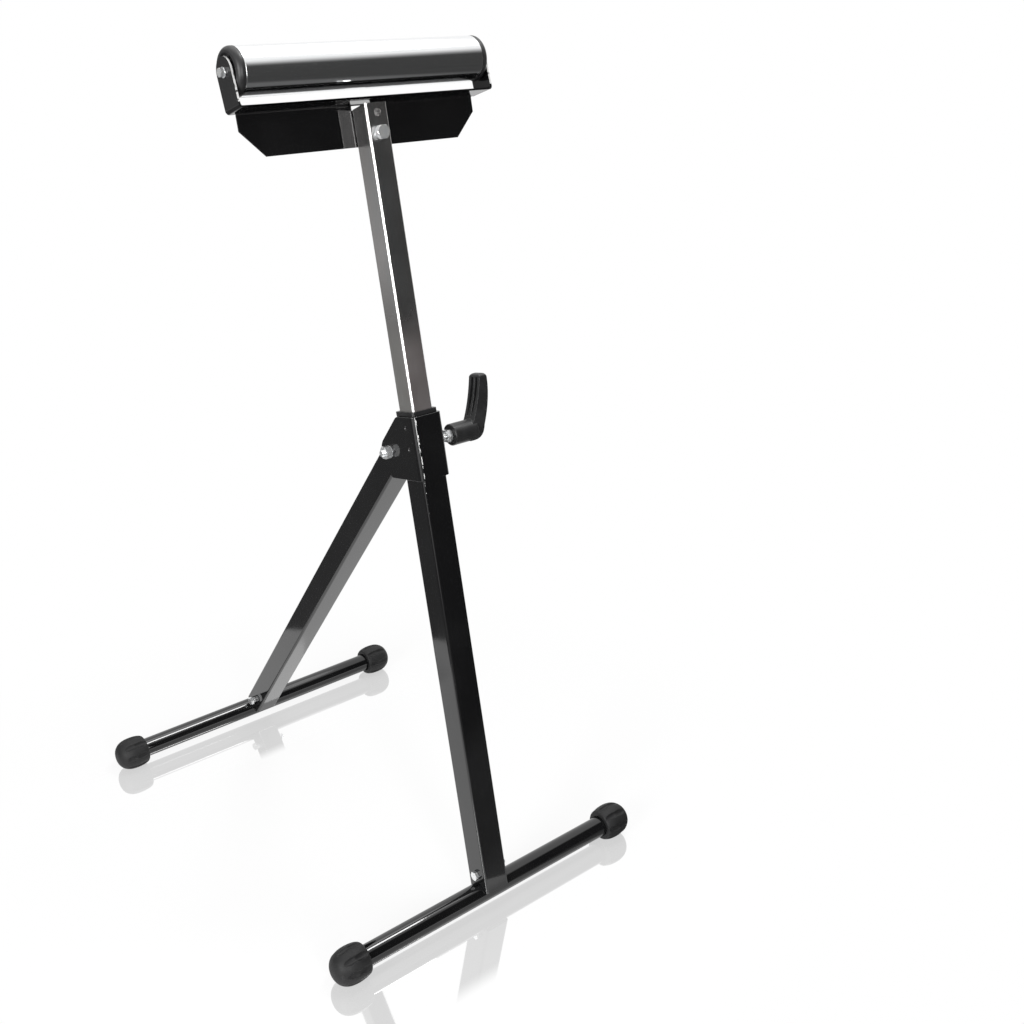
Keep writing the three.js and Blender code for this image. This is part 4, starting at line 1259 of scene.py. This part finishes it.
HALF_TURN = Matrix.Rotation(math.pi, 4, "Z")
SLIM = {"thread": 5, "across": 8, "head": 3.5}
SMALL = {"thread": 6, "across": 10, "head": 4}
LARGE = {"thread": 8, "across": 13, "head": 5.3}
feet = (("front", front_frame, FRONT_SIDE, 0), ("rear", rear_frame, REAR_SIDE, 4.3))
for end, tilted, side, lift in feet:
    face = side / 2 + GAP
    length = lift + 2 * face + 5 + 4
    screw = bolt(f"{end}_foot_screw", length=length, threaded=14, **SMALL)
    fit(screw, tilted @ moved(-face - lift, 0, FOOT_BOLT_HEIGHT), f"{end}_frame", f"{end}_foot_bolt")
    hexnut = nut(f"{end}_foot_hexnut", 6, 10, 5)
    fit(hexnut, tilted @ moved(face, 0, FOOT_BOLT_HEIGHT), f"{end}_frame", f"{end}_foot_nut")
sleeve = washer("rear_foot_sleeve", 6.6, 8, 4)
sleeve_place = rear_frame @ moved(-REAR_SIDE / 2 - 4.3, 0, FOOT_BOLT_HEIGHT)
fit(sleeve, sleeve_place, "rear_frame", "rear_foot_spacer")

# %% Pivot
pivot_frame = front_frame @ moved(0, PIVOT_OFFSET, PIVOT_HEIGHT)
seat = CHEEK_OUTER + GAP
face = seat + 1.2 + GAP
pivot_length = 2 * face + GAP + 6.5 + 3
pivot_screw = bolt("pivot_screw", length=pivot_length, threaded=24, **LARGE)
fit(pivot_screw, pivot_frame @ moved(face, 0, 0) @ HALF_TURN, "front_frame", "pivot_bolt")
pivot_hexnut = nut("pivot_hexnut", 8, 13, 6.5)
fit(pivot_hexnut, pivot_frame @ moved(-face - 6.5, 0, 0), "front_frame", "pivot_nut")
left_disc = washer("pivot_disc_left", 8.6, 13.5, 1.2)
fit(left_disc, pivot_frame @ moved(-seat - 1.2, 0, 0), "front_frame", "pivot_washer_left")
right_disc = washer("pivot_disc_right", 8.6, 13.5, 1.2)
fit(right_disc, pivot_frame @ moved(seat, 0, 0), "front_frame", "pivot_washer_right")

# %% [markdown]
# ## Fasteners of the head and the axle
#
# One bolt goes through the mast and the guide plate. The axle is held by a smaller bolt and
# a washer in each ear.

# %% Head bolt and axle bolts
QUARTER_TURN = Matrix.Rotation(math.pi / 2, 4, "Z")
half_mast = MAST_SIDE / 2
rear_face = STRAP_REAR + GAP
under_head = half_mast + GAP + 1.2 + GAP
nut_seat = rear_face + 1.2 + GAP
row = front_frame @ moved(0, 0, HEAD_BOLT_HEIGHT)
head_screw = bolt("head_screw", length=under_head + nut_seat + 6.5 + 4, threaded=14, **LARGE)
fit(head_screw, row @ moved(0, -under_head, 0) @ QUARTER_TURN, "mast", "head_bolt")
head_hexnut = nut("head_hexnut", 8, 13, 6.5)
fit(head_hexnut, row @ moved(0, nut_seat, 0) @ QUARTER_TURN, "mast", "head_nut")
front_disc = washer("head_disc_front", 8.6, 13.5, 1.2)
fit(front_disc, row @ moved(0, -half_mast - GAP - 1.2, 0) @ QUARTER_TURN, "mast", "head_washer_front")
rear_disc = washer("head_disc_rear", 8.6, 13.5, 1.2)
fit(rear_disc, row @ moved(0, rear_face, 0) @ QUARTER_TURN, "mast", "head_washer_rear")

ear_face = EAR_OUTER + GAP
for side, towards in (("left", -1), ("right", 1)):
    turn = HALF_TURN if towards > 0 else Matrix()
    screw = bolt(f"axle_screw_{side}", length=20, threaded=14, **SLIM)
    head_place = roller_frame @ moved(towards * (ear_face + 1 + GAP), 0, 0) @ turn
    fit(screw, head_place, "mast", f"axle_bolt_{side}")
    disc = washer(f"axle_disc_{side}", 5.6, 10, 1)
    disc_place = roller_frame @ moved(towards * ear_face, 0, 0) @ HALF_TURN @ turn
    fit(disc, disc_place, "mast", f"axle_washer_{side}")

# %% [markdown]
# ## Clamp screw and its nuts
#
# A nut welded on the bracket takes the clamp screw, and a lock nut holds the screw in the
# knob. The screw is threaded all along.

# %% Clamp screw
clamp_frame = front_frame @ moved(0, 0, CLAMP_HEIGHT)
KNOB_START = 38.5
screw_start = half_mast + GAP + 1.4 + GAP
screw_end = KNOB_START + 20 - GAP
profile = [(screw_start, 0), (screw_start, 3.2), (screw_start + 0.8, 4)]
profile += ridges(4, 1.25, screw_start + 0.8, screw_end)
profile += [(screw_end, 4), (screw_end, 0)]
fit(turned("clamp_screw_threaded", profile, 32), clamp_frame, "knob", "clamp_screw")
clamp_hexnut = nut("clamp_hexnut", 8, 13, 6.5)
fit(clamp_hexnut, clamp_frame @ moved(CHEEK_OUTER + GAP, 0, 0), "front_frame", "clamp_nut")
lock_hexnut = nut("knob_lock_hexnut", 8, 13, 6)
fit(lock_hexnut, clamp_frame @ moved(KNOB_START - GAP - 6, 0, 0), "knob", "knob_lock_nut")

# %% [markdown]
# ## Clamp knob
#
# The knob is one L-shaped moulding: a round barrel, an elbow and a flat arm with two long
# grooves on the side towards the mast, closed at the top by a rim. The arm is drawn from the
# side, pushed to its width and rounded, joined to a turned barrel, and grooved. Remeshing and
# smoothing then blend the elbow into the barrel.

# %% Clamp knob
ARM_HALF = 9.5
ARM_REACH = 54
ARM_TOP = 59
ARM_TIP = 10.8
ARM_INNER = ARM_REACH - ARM_TIP
TIP_START = ARM_TOP - ARM_TIP / 2
TIP_MIDDLE = ARM_REACH - ARM_TIP / 2
GROOVE_RIM = 4


def bow(start, control, end, steps=10):
    """Points of a smooth bow from start to end, pulled towards a control point."""
    start, control, end = Vector(start), Vector(control), Vector(end)
    shares = [step / steps for step in range(1, steps + 1)]
    return [tuple(start.lerp(control, s).lerp(control.lerp(end, s), s)) for s in shares]


def arm_outline():
    """Side view of the arm in (x, height), with the near end of the barrel at x = 0."""
    return [
        (20, -10.8),
        (26, -10.8),
        *bow((26, -10.8), (39, -10.8), (42, 3)),
        *bow((42, 3), (ARM_REACH, 29.5), (ARM_REACH, TIP_START)),
        *bow((ARM_REACH, TIP_START), (ARM_REACH, ARM_TOP), (TIP_MIDDLE, ARM_TOP)),
        *bow((TIP_MIDDLE, ARM_TOP), (ARM_INNER, ARM_TOP), (ARM_INNER, TIP_START)),
        *bow((ARM_INNER, TIP_START), (ARM_INNER - 5.5, 29.5), (28, 10.8)),
        (20, 0),
    ]


def groove_outline(depth):
    """Side view of all that lies in front of the grooves' floor."""
    start = (28 + depth, 10.8 + depth)
    end = (ARM_INNER + depth, TIP_START)
    rim = ARM_TOP - GROOVE_RIM
    floor_line = bow(start, (ARM_INNER - 5.5 + depth, 29.5), end)
    return [start, *floor_line, (end[0], rim), (10, rim), (10, start[1])]


knob = turned("clamp_knob_moulded", [(0, 0), (0, 11), (1, 12), (31, 12), (32, 11), (32, 0)], 96)
arm_view = [(x, -ARM_HALF, height) for x, height in arm_outline()]
arm = slab("arm", arm_view, (0, 2 * ARM_HALF, 0))
crown = [(ARM_HALF, -20), *arc((ARM_HALF - 5.5, ARM_TOP - 5.5), 5.5, 0, 90, 8)]
crown += [(-y, z) for y, z in reversed(crown)]
front_view = slab("front_view", [(10, y, z) for y, z in crown], (60, 0, 0))
cut(arm, front_view, "INTERSECT")
soften(arm, 1.6, 3)
cut(knob, arm, "UNION")
cut(knob, rod("socket", 8.4, -1, 20, 32))
for start in (1.5, -5.9):
    cut(knob, slab("groove", [(x, start, z) for x, z in groove_outline(4.2)], (0, 4.4, 0)))
finish_with(knob, "REMESH", mode="VOXEL", voxel_size=0.4 * MM)
finish_with(knob, "SMOOTH", factor=0.5, iterations=1)
settle(knob, clamp_frame @ moved(KNOB_START, 0, 0))
dress(knob, "black_plastic", "knob", "clamp_knob")

# %% [markdown]
# ## Pieces that stay as packed
#
# The stubs, the plug, the bush, the axle, the bearings and the clamp pad keep their packed
# shapes. They are small or hidden, and only need the right finish.

# %% Carried-over pieces
kept = {
    "front_foot_stub": "bare_steel",
    "rear_foot_stub": "bare_steel",
    "mast_end_plug": "black_plastic",
    "guide_bush": "black_plastic",
    "roller_axle": "bare_steel",
    "roller_bearing_left": "bare_steel",
    "roller_bearing_right": "bare_steel",
    "clamp_pad": "black_plastic",
}
for node, look in kept.items():
    frame["nodes"][node].data.materials.clear()
    frame["nodes"][node].data.materials.append(finishes[look])
print("kept", len(kept), "packed pieces")
